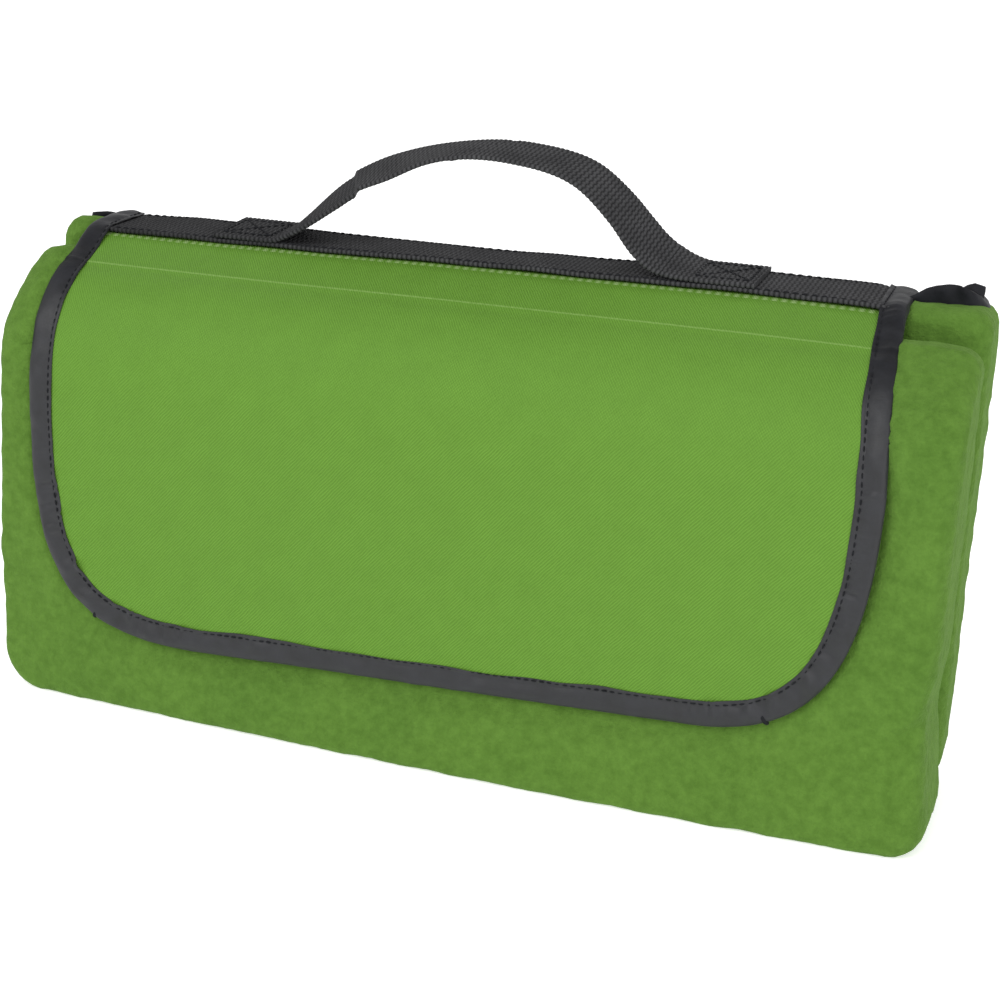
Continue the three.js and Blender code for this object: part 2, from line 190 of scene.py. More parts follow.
def closed_sheet(front, back):
    """A closed thin sheet between two grids of points. Its rim has points of its own, so that its
    edges stay crisp; rim lists the grid points it repeats."""
    rows, columns = front.shape[:2]
    count = rows * columns
    points = np.concatenate([front.reshape(-1, 3), back.reshape(-1, 3)])
    faces = grid_faces(rows, columns).tolist() + grid_faces(rows, columns, count, True).tolist()
    index = np.arange(count).reshape(rows, columns)
    rim = np.concatenate([index[0, :-1], index[:-1, -1], index[-1, :0:-1], index[:0:-1, 0]])
    rim = np.concatenate([rim, rim + count])
    near = 2 * count + np.arange(len(rim) // 2)
    far = near + len(rim) // 2
    sides = joined(near, far, np.roll(far, -1), np.roll(near, -1))
    return np.concatenate([points, points[rim]]), faces + sides.tolist(), rim


def merged(parts):
    """One mesh from several (points, faces)."""
    points, faces, start = [], [], 0
    for part_points, part_faces in parts:
        points.append(np.asarray(part_points, float))
        faces += [[v + start for v in face] for face in part_faces]
        start += len(part_points)
    return np.concatenate(points), faces


def lattice_shell(counts):
    """Outer faces of a lattice of the given counts: lattice places from 0 to 1 and quads facing out."""
    inside = np.zeros(counts, bool)
    inside[1:-1, 1:-1, 1:-1] = True
    number = np.full(counts, -1)
    number[~inside] = np.arange((~inside).sum())
    places = np.argwhere(~inside)
    quads = []
    for axis in range(3):
        for end, flip in ((0, True), (counts[axis] - 1, False)):
            side = np.take(number, end, axis=axis)
            quad = joined(side[:-1, :-1], side[1:, :-1], side[1:, 1:], side[:-1, 1:]).reshape(-1, 4)
            quads.append(quad[:, ::-1] if flip != (axis == 1) else quad)
    return places, np.concatenate(quads)


def point_normals(points, quads):
    """Area-weighted normals of a mesh of quads."""
    across = points[quads[:, 2]] - points[quads[:, 0]]
    down = points[quads[:, 3]] - points[quads[:, 1]]
    faces = np.cross(across, down)
    normals = np.zeros_like(points)
    for k in range(4):
        np.add.at(normals, quads[:, k], faces)
    return normals / np.maximum(np.linalg.norm(normals, axis=1), 1e-12)[:, None]


# ---------------------------------------------------------------- materials

STUDIO_LEVEL = 1.42  # how much brighter than white the studio makes a white card
STRIP_WIDTH = WEB_HIGH[1]
RIB_PITCH = 1.6  # of the webbing
RIB_STEP = 0.65  # how far a rib steps from yarn to yarn, in radians of half its pitch
YARN_COLUMNS = 13  # across the webbing
CREASE_DEPTH = 16.6  # how far below the seam the fold line runs across the flap


def linear(red, green, blue):
    """A node colour that looks like the sRGB values of 0 to 255 in the studio's light."""
    parts = [c / 255 for c in (red, green, blue)]
    parts = [c / 12.92 if c < 0.04045 else ((c + 0.055) / 1.055) ** 2.4 for c in parts]
    return [c / STUDIO_LEVEL for c in parts] + [1.0]


class Nodes:
    """A node tree that is put together one named step at a time."""

    def __init__(self, tree):
        self.nodes = tree.nodes
        self.links = tree.links

    def feed(self, node, **inputs):
        """Sets or links the inputs of a node. They go by number, as input0, or by name."""
        for key, value in inputs.items():
            name = key.replace("_", " ")
            target = node.inputs[int(name[5:])] if name.startswith("input") else node.inputs[name]
            if isinstance(value, bpy.types.NodeSocket):
                self.links.new(value, target)
            else:
                target.default_value = value

    def node(self, kind, settings=None, **inputs):
        node = self.nodes.new(kind)
        for key, value in (settings or {}).items():
            setattr(node, key, value)
        self.feed(node, **inputs)
        return node

    def math(self, operation, first, second=0.0, third=0.0):
        node = self.node("ShaderNodeMath", {"operation": operation}, input0=first, input1=second,
                         input2=third)
        return node.outputs[0]

    def scaled(self, value, factor, plus=0.0):
        return self.math("MULTIPLY_ADD", value, factor, plus)

    def between(self, value, low, high, first=0.0, last=1.0):
        """Goes from first to last while the value goes from low to high."""
        numbers = {"From_Min": low, "From_Max": high, "To_Min": first, "To_Max": last}
        return self.node("ShaderNodeMapRange", Value=value, **numbers).outputs[0]

    def place(self, kind="Object"):
        return self.node("ShaderNodeTexCoord").outputs[kind]

    def numbers(self, vector):
        """X, Y and Z of a vector."""
        return self.node("ShaderNodeSeparateXYZ", Vector=vector).outputs


class Finish(Nodes):
    """A material with noise, waves and tones, and relief in layers."""

    def __init__(self, name, roughness, sheen=0.0, specular=0.5):
        self.material = bpy.data.materials.new(name)
        self.material.use_nodes = True
        super().__init__(self.material.node_tree)
        self.shader = self.nodes["Principled BSDF"]
        self.feed(self.shader, Roughness=roughness, Sheen_Weight=sheen, Specular_IOR_Level=specular)
        self.last_bump = None

    def look(self, **inputs):
        self.feed(self.shader, **inputs)

    def cloth(self):
        """Place on the cloth in metres, as two numbers."""
        return self.numbers(self.node("ShaderNodeUVMap", {"uv_map": "cloth"}).outputs[0])[:2]

    def noise(self, size, detail=3.0, rough=0.5):
        """Noise with features of about size metres."""
        node = self.node("ShaderNodeTexNoise", Vector=self.place(), Scale=1 / size, Detail=detail,
                         Roughness=rough)
        return node.outputs["Fac"]

    def wave(self, value, pitch, shift=0.0):
        """A wave from 0 to 1 of the given pitch in metres."""
        turns = self.scaled(value, TAU / pitch, shift)
        return self.scaled(self.math("SINE", turns), 0.5, 0.5)

    def tones(self, value, low, high):
        """Goes from one tone to another, each given as (value, colour), as the value rises."""
        node = self.node("ShaderNodeValToRGB", Fac=value)
        for element, (position, colour) in zip(node.color_ramp.elements, (low, high)):
            element.position = position
            element.color = colour
        return node.outputs["Color"]

    def mix(self, factor, first, second):
        node = self.node("ShaderNodeMix", {"data_type": "RGBA"}, input0=factor, input6=first, input7=second)
        return node.outputs[2]

    def bump(self, height, distance):
        """Adds relief of the given height in metres on top of the relief already there."""
        node = self.node("ShaderNodeBump", Height=height, Distance=distance, Strength=1.0)
        if self.last_bump is not None:
            self.links.new(self.last_bump, node.inputs["Normal"])
        self.last_bump = node.outputs["Normal"]
        self.links.new(self.last_bump, self.shader.inputs["Normal"])


def fleece_finish():
    """Soft brushed fleece: mottled where the nap leans different ways, with fine tufts."""
    f = Finish("fleece", roughness=0.95, sheen=0.25, specular=0.12)
    f.look(Sheen_Roughness=0.45, Sheen_Tint=linear(170, 205, 120))
    broad = f.noise(0.045, 2.0)
    nap = f.noise(0.0034, 4.0, 0.65)
    tuft = f.noise(0.0011, 3.0, 0.65)
    mottled = f.tones(nap, (0.34, linear(85, 122, 44)), (0.66, linear(112, 153, 64)))
    leaning = f.tones(broad, (0.35, linear(87, 125, 48)), (0.65, linear(104, 143, 57)))
    shaded = f.mix(0.35, mottled, leaning)
    f.look(Base_Color=f.mix(f.scaled(tuft, 0.5), shaded, linear(82, 118, 46)))
    f.bump(nap, 0.0007)
    f.bump(tuft, 0.0005)
    return f.material


def flap_finish():
    """Woven polyester: a fine weave with a diagonal line, coated, with a low gloss."""
    f = Finish("flap_cloth", roughness=0.62, specular=0.15)
    u, v = f.cloth()
    rising = f.scaled(u, 0.743, f.scaled(v, 0.669))
    falling = f.scaled(u, -0.839, f.scaled(v, 0.545))
    wander = f.noise(0.004, 2.0)
    rising = f.scaled(wander, 0.0006, rising)
    falling = f.scaled(wander, 0.0006, falling)
    low_part = f.between(f.scaled(wander, 0.02, v), 0.035, 0.075)
    high_weave = f.scaled(f.wave(falling, 0.00072), f.math("SUBTRACT", 1.0, low_part))
    weave = f.scaled(f.wave(rising, 0.00080), low_part, high_weave)
    uneven = f.noise(0.009, 3.0)
    slub = f.noise(0.0009, 2.0)
    base = f.tones(uneven, (0.3, linear(105, 153, 52)), (0.7, linear(111, 161, 57)))
    lines = f.mix(f.scaled(weave, 0.85), base, linear(85, 128, 37))
    cloth = f.mix(f.scaled(slub, 0.4), lines, linear(120, 168, 66))
    away = f.math("ABSOLUTE", f.math("SUBTRACT", v, CREASE_DEPTH * MM))
    worn = f.scaled(f.math("LESS_THAN", away, 0.00035), f.scaled(slub, 0.6))
    folded = f.mix(worn, cloth, linear(168, 205, 120))
    ticks = f.scaled(f.math("LESS_THAN", f.math("ABSOLUTE", v), 0.0011), f.wave(u, 0.0029))
    f.look(Base_Color=f.mix(f.scaled(ticks, 0.6), folded, linear(176, 205, 140)))
    f.look(Roughness=f.scaled(uneven, 0.12, 0.54))
    f.bump(weave, 0.00010)
    return f.material


def tape_finish():
    """Woven edge tape with fine cross ribs and a slight gloss, duller where it lies near the top."""
    f = Finish("edge_tape", roughness=0.52, sheen=0.06)
    dark, light = linear(17, 18, 22), linear(37, 38, 44)
    u, _ = f.cloth()
    rib = f.wave(u, 0.00045)
    worn = f.noise(0.006, 4.0, 0.6)
    tone = f.tones(worn, (0.3, dark), (0.75, light))
    f.look(Base_Color=f.mix(f.scaled(rib, 0.2), tone, dark))
    f.look(Roughness=f.scaled(worn, 0.2, 0.42))
    height = f.numbers(f.place())[2]
    f.look(Specular_IOR_Level=f.between(height, 0.130, 0.143, 0.46, 0.13))
    f.bump(rib, 0.00001)
    f.bump(worn, 0.00025)
    return f.material


def webbing_finish():
    """Polypropylene webbing: cross ribs that step sideways from yarn to yarn, with painted shade darkening
    the grooves between them.
    """
    f = Finish("webbing", roughness=0.75, specular=0.10)
    u, v = f.cloth()
    column = f.scaled(v, YARN_COLUMNS / (STRIP_WIDTH * MM))
    odd = f.math("MODULO", f.math("ADD", f.math("FLOOR", column), 100.0), 2.0)
    turn = f.scaled(u, math.pi / (RIB_PITCH * MM), f.scaled(odd, RIB_STEP))
    rib = f.math("ABSOLUTE", f.math("COSINE", turn))
    cord = f.math("ABSOLUTE", f.math("SINE", f.scaled(column, math.pi)))
    crest = f.scaled(rib, f.scaled(cord, 0.38, 0.62))
    fibre = f.noise(0.0006, 3.0, 0.7)
    patch = f.noise(0.012, 3.0)
    tone = f.tones(patch, (0.3, linear(74, 74, 76)), (0.7, linear(92, 92, 94)))
    # Painted shade: the colour goes dark in the grooves between the ribs.
    woven_with_painted_shade = f.mix(f.math("POWER", crest, 0.8), linear(26, 26, 27), tone)
    along = f.numbers(f.place())[0]
    # Painted shade: darker towards the left end of the strip.
    woven_with_painted_shade = f.mix(f.between(along, -0.03, -0.12, 0.0, 0.55), woven_with_painted_shade, linear(30, 30, 31))
    f.look(Base_Color=f.mix(f.scaled(fibre, 0.4), woven_with_painted_shade, linear(50, 50, 52)))
    f.bump(crest, 0.00035)
    f.bump(fibre, 0.00012)
    return f.material


def film_finish():
    """Thin waterproof film, glossy, with small creases."""
    f = Finish("waterproof_film", roughness=0.3, specular=0.6)
    crease = f.noise(0.008, 5.0, 0.65)
    f.look(Base_Color=f.tones(crease, (0.3, linear(22, 24, 28)), (0.7, linear(44, 47, 54))))
    f.look(Roughness=f.scaled(crease, 0.25, 0.18))
    f.bump(crease, 0.0006)
    return f.material


def thread_finish():
    """Black sewing thread."""
    f = Finish("thread", roughness=0.8, specular=0.15)
    strand = f.noise(0.0004, 2.0)
    f.look(Base_Color=f.mix(f.scaled(strand, 0.5), linear(30, 31, 34), linear(42, 43, 47)))
    f.bump(strand, 0.00008)
    return f.material


def fastener_finish(name, light):
    """The pile or hooks of touch fastener tape."""
    f = Finish(name, roughness=0.9, sheen=0.3, specular=0.25)
    pile = f.noise(0.0006, 4.0, 0.75)
    cells = f.node("ShaderNodeTexVoronoi", Vector=f.place(), Scale=900.0).outputs["Distance"]
    f.look(Base_Color=f.tones(pile, (0.3, linear(20, 20, 22)), (0.75, light)))
    f.bump(cells, 0.0004)
    f.bump(pile, 0.0003)
    return f.material


FLEECE = fleece_finish()
FLAP = flap_finish()
TAPE = tape_finish()
WEBBING = webbing_finish()
FILM = film_finish()
THREAD = thread_finish()
HOOKS = fastener_finish("hook_tape", linear(52, 53, 56))
LOOPS = fastener_finish("loop_tape", linear(60, 61, 64))


# ---------------------------------------------------------------- the flap's surface

FACE_Y = box_mm("flap_panel_lower")[0][1]
SEAM = np.array([0.0, box_mm("flap_panel_upper")[1][2] + 0.2])  # (Y, Z) of the flap's face at the seam
STRIP_REAR = np.array([STRIP_WIDTH, SEAM_HIGH[2]])
DRAPE_START = np.array([-18.0, SEAM[1] - 10.6])
DRAPE_CONTROL = np.array([FACE_Y, SEAM[1] - 22.0])
DRAPE_END = np.array([FACE_Y, SEAM[1] - 55.6])
LEFT_X, RIGHT_X = TAPE_LOW[0], TAPE_HIGH[0]
RIGHT_TOP_X = box_mm("strip_end_tape_right")[1][0] - 0.2
BOTTOM_LEFT = np.array([-83.0, TAPE_LOW[2]])  # (X, Z)
BOTTOM_RIGHT = np.array([80.0, TAPE_LOW[2] + 5.4])
CORNER_TOP_Z = SEAM[1] - 45.6
CORNER_FULLNESS = {"left": 0.79, "right": 0.72}
TAPE_WIDTH = 8.4
PANEL_THICK = 0.7
BAND_DEPTH = 8.0  # the plain band of the flap below the strip


def drape_line():
    """The flap's outer face from the side, as (Y, Z), and the depth of each point below the seam."""
    t = np.linspace(0, 1, 60)[:, None]
    curve = (1 - t) ** 2 * DRAPE_START + 2 * (1 - t) * t * DRAPE_CONTROL + t * t * DRAPE_END
    line = np.concatenate([[STRIP_REAR], [SEAM], curve, [[FACE_Y, 0.0]]])
    depth = arc_length(line) - np.linalg.norm(SEAM - STRIP_REAR)
    even = np.arange(depth[0], depth[-1], 0.5)
    near = 4.5 * bump_at(even, 0, 7.0)  # the cloth turns over the seam in a soft bend
    places = [even + near * k for k in (-1, -0.5, 0, 0.5, 1)]
    turned = [np.mean([np.interp(place, depth, line[:, j]) for place in places], axis=0) for j in (0, 1)]
    return np.stack(turned, axis=1), even


DRAPE, DRAPE_DEPTH = drape_line()


def on_drape(depth):
    """(Y, Z) and the outward normal of the flap's face at a depth below the seam."""
    depth, reach = np.asarray(depth, float), 1.2
    before, (y, z), after = ([np.interp(at, DRAPE_DEPTH, values) for values in DRAPE.T]
                             for at in (depth - reach, depth, depth + reach))
    dy, dz = np.subtract(after, before)
    length = np.hypot(dy, dz)
    return y, z, dz / length, -dy / length


def depth_of_height(z):
    return np.interp(-np.asarray(z, float), -DRAPE[:, 1], DRAPE_DEPTH)


# How much higher the soft top lies than its plain drape, along its length.
SETTLE_X = [-143, -115, -95, -60, -20, 5, 30, 60, 90, 118, 131]
SETTLE_FRONT = [-1.1, -1.1, -1.0, -0.5, 0.3, 0.5, 0.7, 1.0, 1.2, 0.8, 0.2]
SETTLE_REAR = [-2.9, -2.0, -1.9, -1.9, -2.0, -1.8, -1.2, -0.2, 0.2, -0.1, -2.4]


def settle(x, depth):
    """Height added to the top at a place along the seam and a depth below it."""
    back = np.clip(-np.asarray(depth, float) / STRIP_WIDTH, 0, 1)
    rise = np.interp(x, SETTLE_X, SETTLE_FRONT) * (1 - back) + np.interp(x, SETTLE_X, SETTLE_REAR) * back
    return rise * (1 - smooth_step(depth, 2, 34))


def flap_relief(x, depth):
    """How far the cloth of the flap stands out from its plain drape, in millimetres."""
    place = joined(x, depth)
    across = smooth_step(x, HOOK_LOW[0] - 12, HOOK_LOW[0])
    across = across * smooth_step(-x, -HOOK_HIGH[0] - 12, -HOOK_HIGH[0])
    down = bump_at(depth, depth_of_height((HOOK_LOW[2] + HOOK_HIGH[2]) / 2), 17)
    free = smooth_step(depth, 4, 60) * (1 - 0.9 * across * down)
    slow = 0.5 * np.tanh(0.9 * ripple(place, 150, 3)) + 0.14 * np.tanh(ripple(place, 55, 4))
    crease = 0.22 * bump_at(depth, CREASE_DEPTH, 0.6) - 0.12 * bump_at(depth, CREASE_DEPTH + 2.4, 1.6)
    return free * slow + 0.04 * ripple(place, 14, 5) * free + crease


def flap_point(x, depth, lift=0.0):
    """A point on the flap's face, lifted outwards, with the cloth's relief."""
    y, z, ny, nz = on_drape(depth)
    out = lift + flap_relief(x, depth)
    return joined(x, y + ny * out, z + nz * out + settle(x, depth))


def right_edge(depth):
    """X of the flap's right edge above its corner."""
    return np.interp(depth, [0, depth_of_height(CORNER_TOP_Z)], [RIGHT_TOP_X, RIGHT_X])


def side_path(side, top):
    """One side of the flap's outline as (X, depth), from the depth top down and round its corner."""
    left = side == "left"
    edge, low = (LEFT_X, BOTTOM_LEFT) if left else (RIGHT_X, BOTTOM_RIGHT)
    depth = np.linspace(top, depth_of_height(CORNER_TOP_Z), 30)
    full = CORNER_FULLNESS[side]
    corner = bezier(
        np.array([edge, CORNER_TOP_Z]),
        np.array([edge, CORNER_TOP_Z + full * (low[1] - CORNER_TOP_Z)]),
        np.array([low[0] + full * (edge - low[0]), low[1]]),
        low, np.linspace(0, 1, 40)[1:])
    turned = joined(corner[:, 0], depth_of_height(corner[:, 1]))
    return np.concatenate([joined(edge if left else right_edge(depth), depth), turned])


def flap_outline(top):
    """The whole edge of the flap as (X, depth): down the left, along the bottom and up the right."""
    left = side_path("left", top)
    right = side_path("right", top)[::-1]
    bottom = np.linspace(left[-1], right[0], 60)[1:-1]
    return np.concatenate([left, bottom, right])


def build_cloth(name, flat, nodes, hold):
    """A piece of the flap's cloth from a grid of (X, depth)."""
    front = flap_point(flat[..., 0], flat[..., 1])
    back = flap_point(flat[..., 0], flat[..., 1], -PANEL_THICK)
    points, faces, rim = closed_sheet(front, back)
    uv = np.concatenate([flat.reshape(-1, 2)] * 2)
    add_piece(name, (points, faces), FLAP, nodes, hold, np.concatenate([uv, uv[rim]]))


CLOTH_COLUMNS = 190
CLOTH_INSET = 0.9  # how far inside the tape's outer edge the cloth ends


def build_flap_panel():
    """The cloth of the flap below the plain band, bent at its crease."""
    rows = 150
    sides = []
    for side, sign in (("left", 1), ("right", -1)):
        path = side_path(side, BAND_DEPTH)
        end = arc_length(path)[-1]
        at = np.linspace(0, end, rows)
        even = resampled(path, rows)
        even[:, 0] += sign * CLOTH_INSET * (1 - smooth_step(at, end - 30, end))
        even[:, 1] -= CLOTH_INSET * smooth_step(at, end - 40, end)
        sides.append(even)
    share = np.linspace(0, 1, CLOTH_COLUMNS)[None, :, None]
    flat = sides[0][:, None] * (1 - share) + sides[1][:, None] * share
    build_cloth("flap_panel", flat, ["flap_panel_lower", "flap_panel_upper"], CREASE_BLEND)


def build_flap_band():
    """The plain band of the flap next to the strip, and its seam allowance under the strip."""
    depth = np.concatenate([np.linspace(-STRIP_WIDTH + 1, -1, 12), np.linspace(0, BAND_DEPTH, 18)])
    left = LEFT_X + CLOTH_INSET
    right = right_edge(depth) - CLOTH_INSET
    x = left + (right[:, None] - left) * np.linspace(0, 1, CLOTH_COLUMNS)
    build_cloth("flap_seam_band", joined(x, depth[:, None]), ["flap_seam_allowance"], SEAM_BLEND)


def bends(low, high):
    """Gives a hold that bakes a piece's transform; the points at the two depths on the flap are not used.
    """
    start, end = (tuple(flap_point(0.0, depth) * MM) for depth in (low, high))
    return lambda piece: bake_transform(piece)


SEAM_BLEND = bends(0.3, 5.0)
CREASE_BLEND = bends(CREASE_DEPTH - 7, CREASE_DEPTH + 4)


# ---------------------------------------------------------------- the tape round the flap

# The folded tape's section: distance from the outer edge as a share of its width, and height
# above the middle of the panel; first the outer leaf, then the turned edge and the inner leaf.
TAPE_SECTION = np.array([
    (1.00, 0.60), (0.99, 0.78), (0.93, 0.92), (0.88, 0.84), (0.82, 0.78), (0.76, 0.86), (0.66, 1.02),
    (0.54, 1.20), (0.42, 1.36), (0.30, 1.42), (0.18, 1.38), (0.08, 1.18), (0.02, 0.80), (-0.01, 0.30),
    (-0.01, -0.30), (0.02, -0.80), (0.10, -1.20), (0.30, -1.38), (0.60, -1.25), (0.90, -1.00),
    (1.00, -0.85), (1.00, -0.55), (0.60, -0.70), (0.20, -0.75), (0.10, -0.40), (0.10, 0.40),
    (0.20, 0.72), (0.60, 0.62),
])
STITCH_SHARE = 0.82  # where the row of stitches runs across the tape
STITCH_PITCH = 2.5
TAIL_RADIUS = 0.95
TAPE_TAILS = ((104.8, 11.2, 2.4), (-118.0, 7.4, -1.6))  # (X, height above the tape's bottom, lean)


def strip_rise(depth):
    """How much higher the tape lies where it passes over the strip."""
    return 1.8 * (1 - smooth_step(depth, -4.0, 9.0))


def tape_width(x, depth):
    bottom = smooth_step(depth, depth_of_height(60.0), depth_of_height(40.0))
    middle = bump_at(x, 0.0, 75.0) * bottom
    return TAPE_WIDTH * (1 - 0.14 * middle) + 0.22 * ripple(joined(x, depth), 26, 11)


def tape_rings(path):
    """Rings of the folded tape, and their places on the cloth, along (X, depth) points on the edge
    of the flap."""
    along, inward = along_across(path)
    length = arc_length(path)
    width = tape_width(path[:, 0], path[:, 1])
    turning = np.abs(np.gradient(np.unwrap(np.arctan2(along[:, 1], along[:, 0])), length))
    pucker = smooth_step(turning, 0.004, 0.016)
    dimple = np.abs(np.sin(math.pi * length / STITCH_PITCH))
    share = TAPE_SECTION[:, 0]
    outer = TAPE_SECTION[:, 1] > 0.5
    row = bump_at(share, STITCH_SHARE, 0.06) * outer
    rings, uv = [], []
    for k, point in enumerate(path):
        across = share * width[k]
        flat = point + inward[k] * across[:, None]
        place = joined(length[k], across)
        fine = 0.10 * ripple(place, 7, 12) + 0.12 * ripple(place, 19, 13)
        folds = 0.42 * pucker[k] * ripple(place * [1.0, 0.35], 8, 14) * smooth_step(share, 0.05, 0.5)
        height = TAPE_SECTION[:, 1] + outer * (fine + folds) - 0.22 * row * dimple[k]
        height = np.where(outer, np.maximum(height, 0.5) + strip_rise(flat[:, 1]), height)
        rings.append(flap_point(flat[:, 0], flat[:, 1], height - PANEL_THICK / 2))
        around = np.concatenate([[0], np.cumsum(np.abs(np.diff(across)))])
        uv.append(joined(length[k], around))
    return np.array(rings), np.array(uv)


def build_flap_tape():
    """The tape round the flap, in three lengths: below the band, and over each end of the strip."""
    path = spaced(flap_outline(-STRIP_WIDTH - 0.2), 0.75)
    rings, uv = tape_rings(path)
    whole, quads = loft(rings)
    normals = point_normals(whole[:rings.size // 3], np.array(quads[:-2])).reshape(rings.shape)
    plain = np.zeros((2 * rings.shape[1], 3))
    below = np.nonzero(path[:, 1] > BAND_DEPTH)[0]
    first, last = below[0], below[-1]
    lengths = [
        ("flap_edge_tape", first, last + 1, CREASE_BLEND, ["flap_tape_lower"]),
        ("strip_end_tape.left", 0, first + 1, SEAM_BLEND, ["strip_end_tape_left", "flap_tape_upper_left"]),
        ("strip_end_tape.right", last, len(path), SEAM_BLEND,
         ["strip_end_tape_right", "flap_tape_upper_right"]),
    ]
    for name, start, stop, bend, nodes in lengths:
        fixed = np.concatenate([normals[start:stop].reshape(-1, 3), plain])
        places = with_caps(uv[start:stop])
        add_piece(name, loft(rings[start:stop]), TAPE, nodes, bend, places, fixed)


def tape_height(share):
    """Height of the outer leaf above the panel's face at a share of the tape's width."""
    outer = TAPE_SECTION[:13][::-1]
    return np.interp(share, outer[:, 0], outer[:, 1]) - PANEL_THICK / 2


# ---------------------------------------------------------------- stitches

def stitch(start, end, normal, radius):
    """One sewn stitch: a bead of thread that dives into the cloth at both ends."""
    start, end, normal = (np.asarray(v, float) for v in (start, end, normal))
    along = end - start
    across = unit(np.cross(along, normal))
    rings = []
    for t in np.linspace(0, 1, 7):
        swell = math.sqrt(max(0.02, 1 - (2 * t - 1) ** 2))
        centre = start + along * t + normal * radius * (0.9 * swell - 0.5)
        size = radius * (0.45 + 0.55 * swell)
        angles = np.linspace(0, TAU, 7)[:-1]
        rings.append([centre + across * size * math.cos(a) + normal * size * math.sin(a) for a in angles])
    return loft(rings)


def stitch_row(points, normals, fill=0.66, radius=0.24):
    """Stitches between each pair of neighbouring points."""
    parts = []
    for k in range(len(points) - 1):
        step = points[k + 1] - points[k]
        gap = step * (1 - fill) / 2
        parts.append(stitch(points[k] + gap, points[k + 1] - gap, normals[k], radius))
    return parts


def drape_normal(depth):
    return joined(0.0, *on_drape(depth)[2:])


def flap_stitches(path, height):
    places = spaced(path, STITCH_PITCH)
    rise = strip_rise(places[:, 1])
    points = flap_point(places[:, 0], places[:, 1], height + rise)
    return stitch_row(points, drape_normal(places[:, 1]))


def tape_tail(x, height, lean):
    """A small end of the tape's turned edge that sticks out below a lower corner."""
    z = TAPE_LOW[2] + height + np.array([1.6, -1.6])
    points = flap_point(np.array([x, x + lean]), depth_of_height(z), -0.1)
    return stitch(points[0], points[1], [0, -1, 0], TAIL_RADIUS)


def build_tape_stitches():
    height = tape_height(STITCH_SHARE) - 0.02
    path = spaced(flap_outline(-STRIP_WIDTH + 1), 1.0)
    path = path + along_across(path)[1] * STITCH_SHARE * TAPE_WIDTH
    below = np.nonzero(path[:, 1] > BAND_DEPTH)[0]
    lengths = {
        "flap_tape_stitches": (path[below[0]:below[-1] + 1], CREASE_BLEND),
        "strip_end_stitches.left": (path[:below[0]], SEAM_BLEND),
        "strip_end_stitches.right": (path[below[-1] + 1:], SEAM_BLEND),
    }
    for name, (length, bend) in lengths.items():
        rows = flap_stitches(length, height)
        if name == "flap_tape_stitches":
            rows += [tape_tail(*tail) for tail in TAPE_TAILS]
        add_piece(name, merged(rows), THREAD, ["flap_tape_stitching"], bend)


# ---------------------------------------------------------------- webbing

WEB_THICK = 1.35
STRIP_LIFT = 0.30  # the strip's underside above the cloth
STRIP_STITCH_PITCH = 2.9
STITCH_INSET = {"front": 1.3, "rear": STRIP_WIDTH - 2.0}  # across the strip


def webbing_section(width):
    """The section of a strip as (across, out): its face, one edge, its back and the other edge."""
    edge, columns = 0.55, 45
    side = edge - width / 2
    turn = np.linspace(90, 270, 7)[1:-1] * math.pi / 180
    face = joined(np.linspace(-side, side, columns), WEB_THICK / 2)
    rim = joined(side + edge * np.cos(turn), WEB_THICK / 2 * np.sin(turn))
    return np.concatenate([face, rim, face[::-1] * [1, -1], -rim])


def webbing_body(centres, widths, normals, width, relief=1.0, ribs=0.2):
    """A webbing strip along centres; widths and normals are unit vectors at each centre."""
    section = webbing_section(width)
    length = arc_length(centres)
    relief = np.broadcast_to(relief, len(centres))
    column = section[:, 0] / width * YARN_COLUMNS
    face = np.clip(section[:, 1] / (WEB_THICK / 2), -1, 1)
    edge = smooth_step(np.abs(section[:, 0]), width / 2 - 1.6, width / 2 - 0.4)
    rings = []
    for k, centre in enumerate(centres):
        turn = TAU * length[k] / RIB_PITCH
        weave = np.abs(np.cos(turn / 2 + RIB_STEP * (np.floor(column) % 2)))
        cord = np.abs(np.cos(math.pi * (column - 0.5)))
        height = ribs * relief[k] * (weave**0.7 - 0.5) * (0.35 + 0.65 * cord**0.6)
        out = section[:, 1] + face * height
        scallop = 0.10 * relief[k] * np.sign(section[:, 0]) * edge * (abs(math.cos(turn / 2)) - 0.5)
        rings.append(centre + np.outer(section[:, 0] + scallop, widths[k]) + np.outer(out, normals[k]))
    points, faces = loft(rings)
    return points, faces, with_caps(joined(length[:, None], section[:, 0]))


def strip_frame(x, across):
    """A point on top of the strip's cloth, across from its front edge, with width and normal."""
    slope = unit(STRIP_REAR - SEAM)
    y = SEAM[0] + slope[0] * across
    z = SEAM[1] + slope[1] * across
    width = np.array([0, slope[0], slope[1]])
    normal = np.array([0, -slope[1], slope[0]])
    return joined(x, y, z + settle(x, -across)), width, normal


def build_strip():
    """The webbing strip over the seam."""
    x = np.arange(WEB_LOW[0] + 0.2, WEB_HIGH[0] - 0.2, RIB_PITCH / 5)
    centres, width, normal = strip_frame(x, STRIP_WIDTH / 2 + 0.15)
    wander = 0.16 * ripple(x[:, None], 90, 21)
    uneven = 0.10 * ripple(x[:, None], 40, 22)
    lift = STRIP_LIFT + WEB_THICK / 2 + uneven
    centres = centres + np.outer(wander, width) + np.outer(lift, normal)
    widths = np.repeat(width[None], len(x), axis=0)
    normals = np.repeat(normal[None], len(x), axis=0)
    points, faces, uv = webbing_body(centres, widths, normals, STRIP_WIDTH - 0.3)
    points[:, 2] += settle(points[:, 0], -points[:, 1]) - settle(points[:, 0], -STRIP_WIDTH / 2 - 0.15)
    add_piece("seam_strip", (points, faces), WEBBING, ["seam_webbing"], on_bundle, uv)


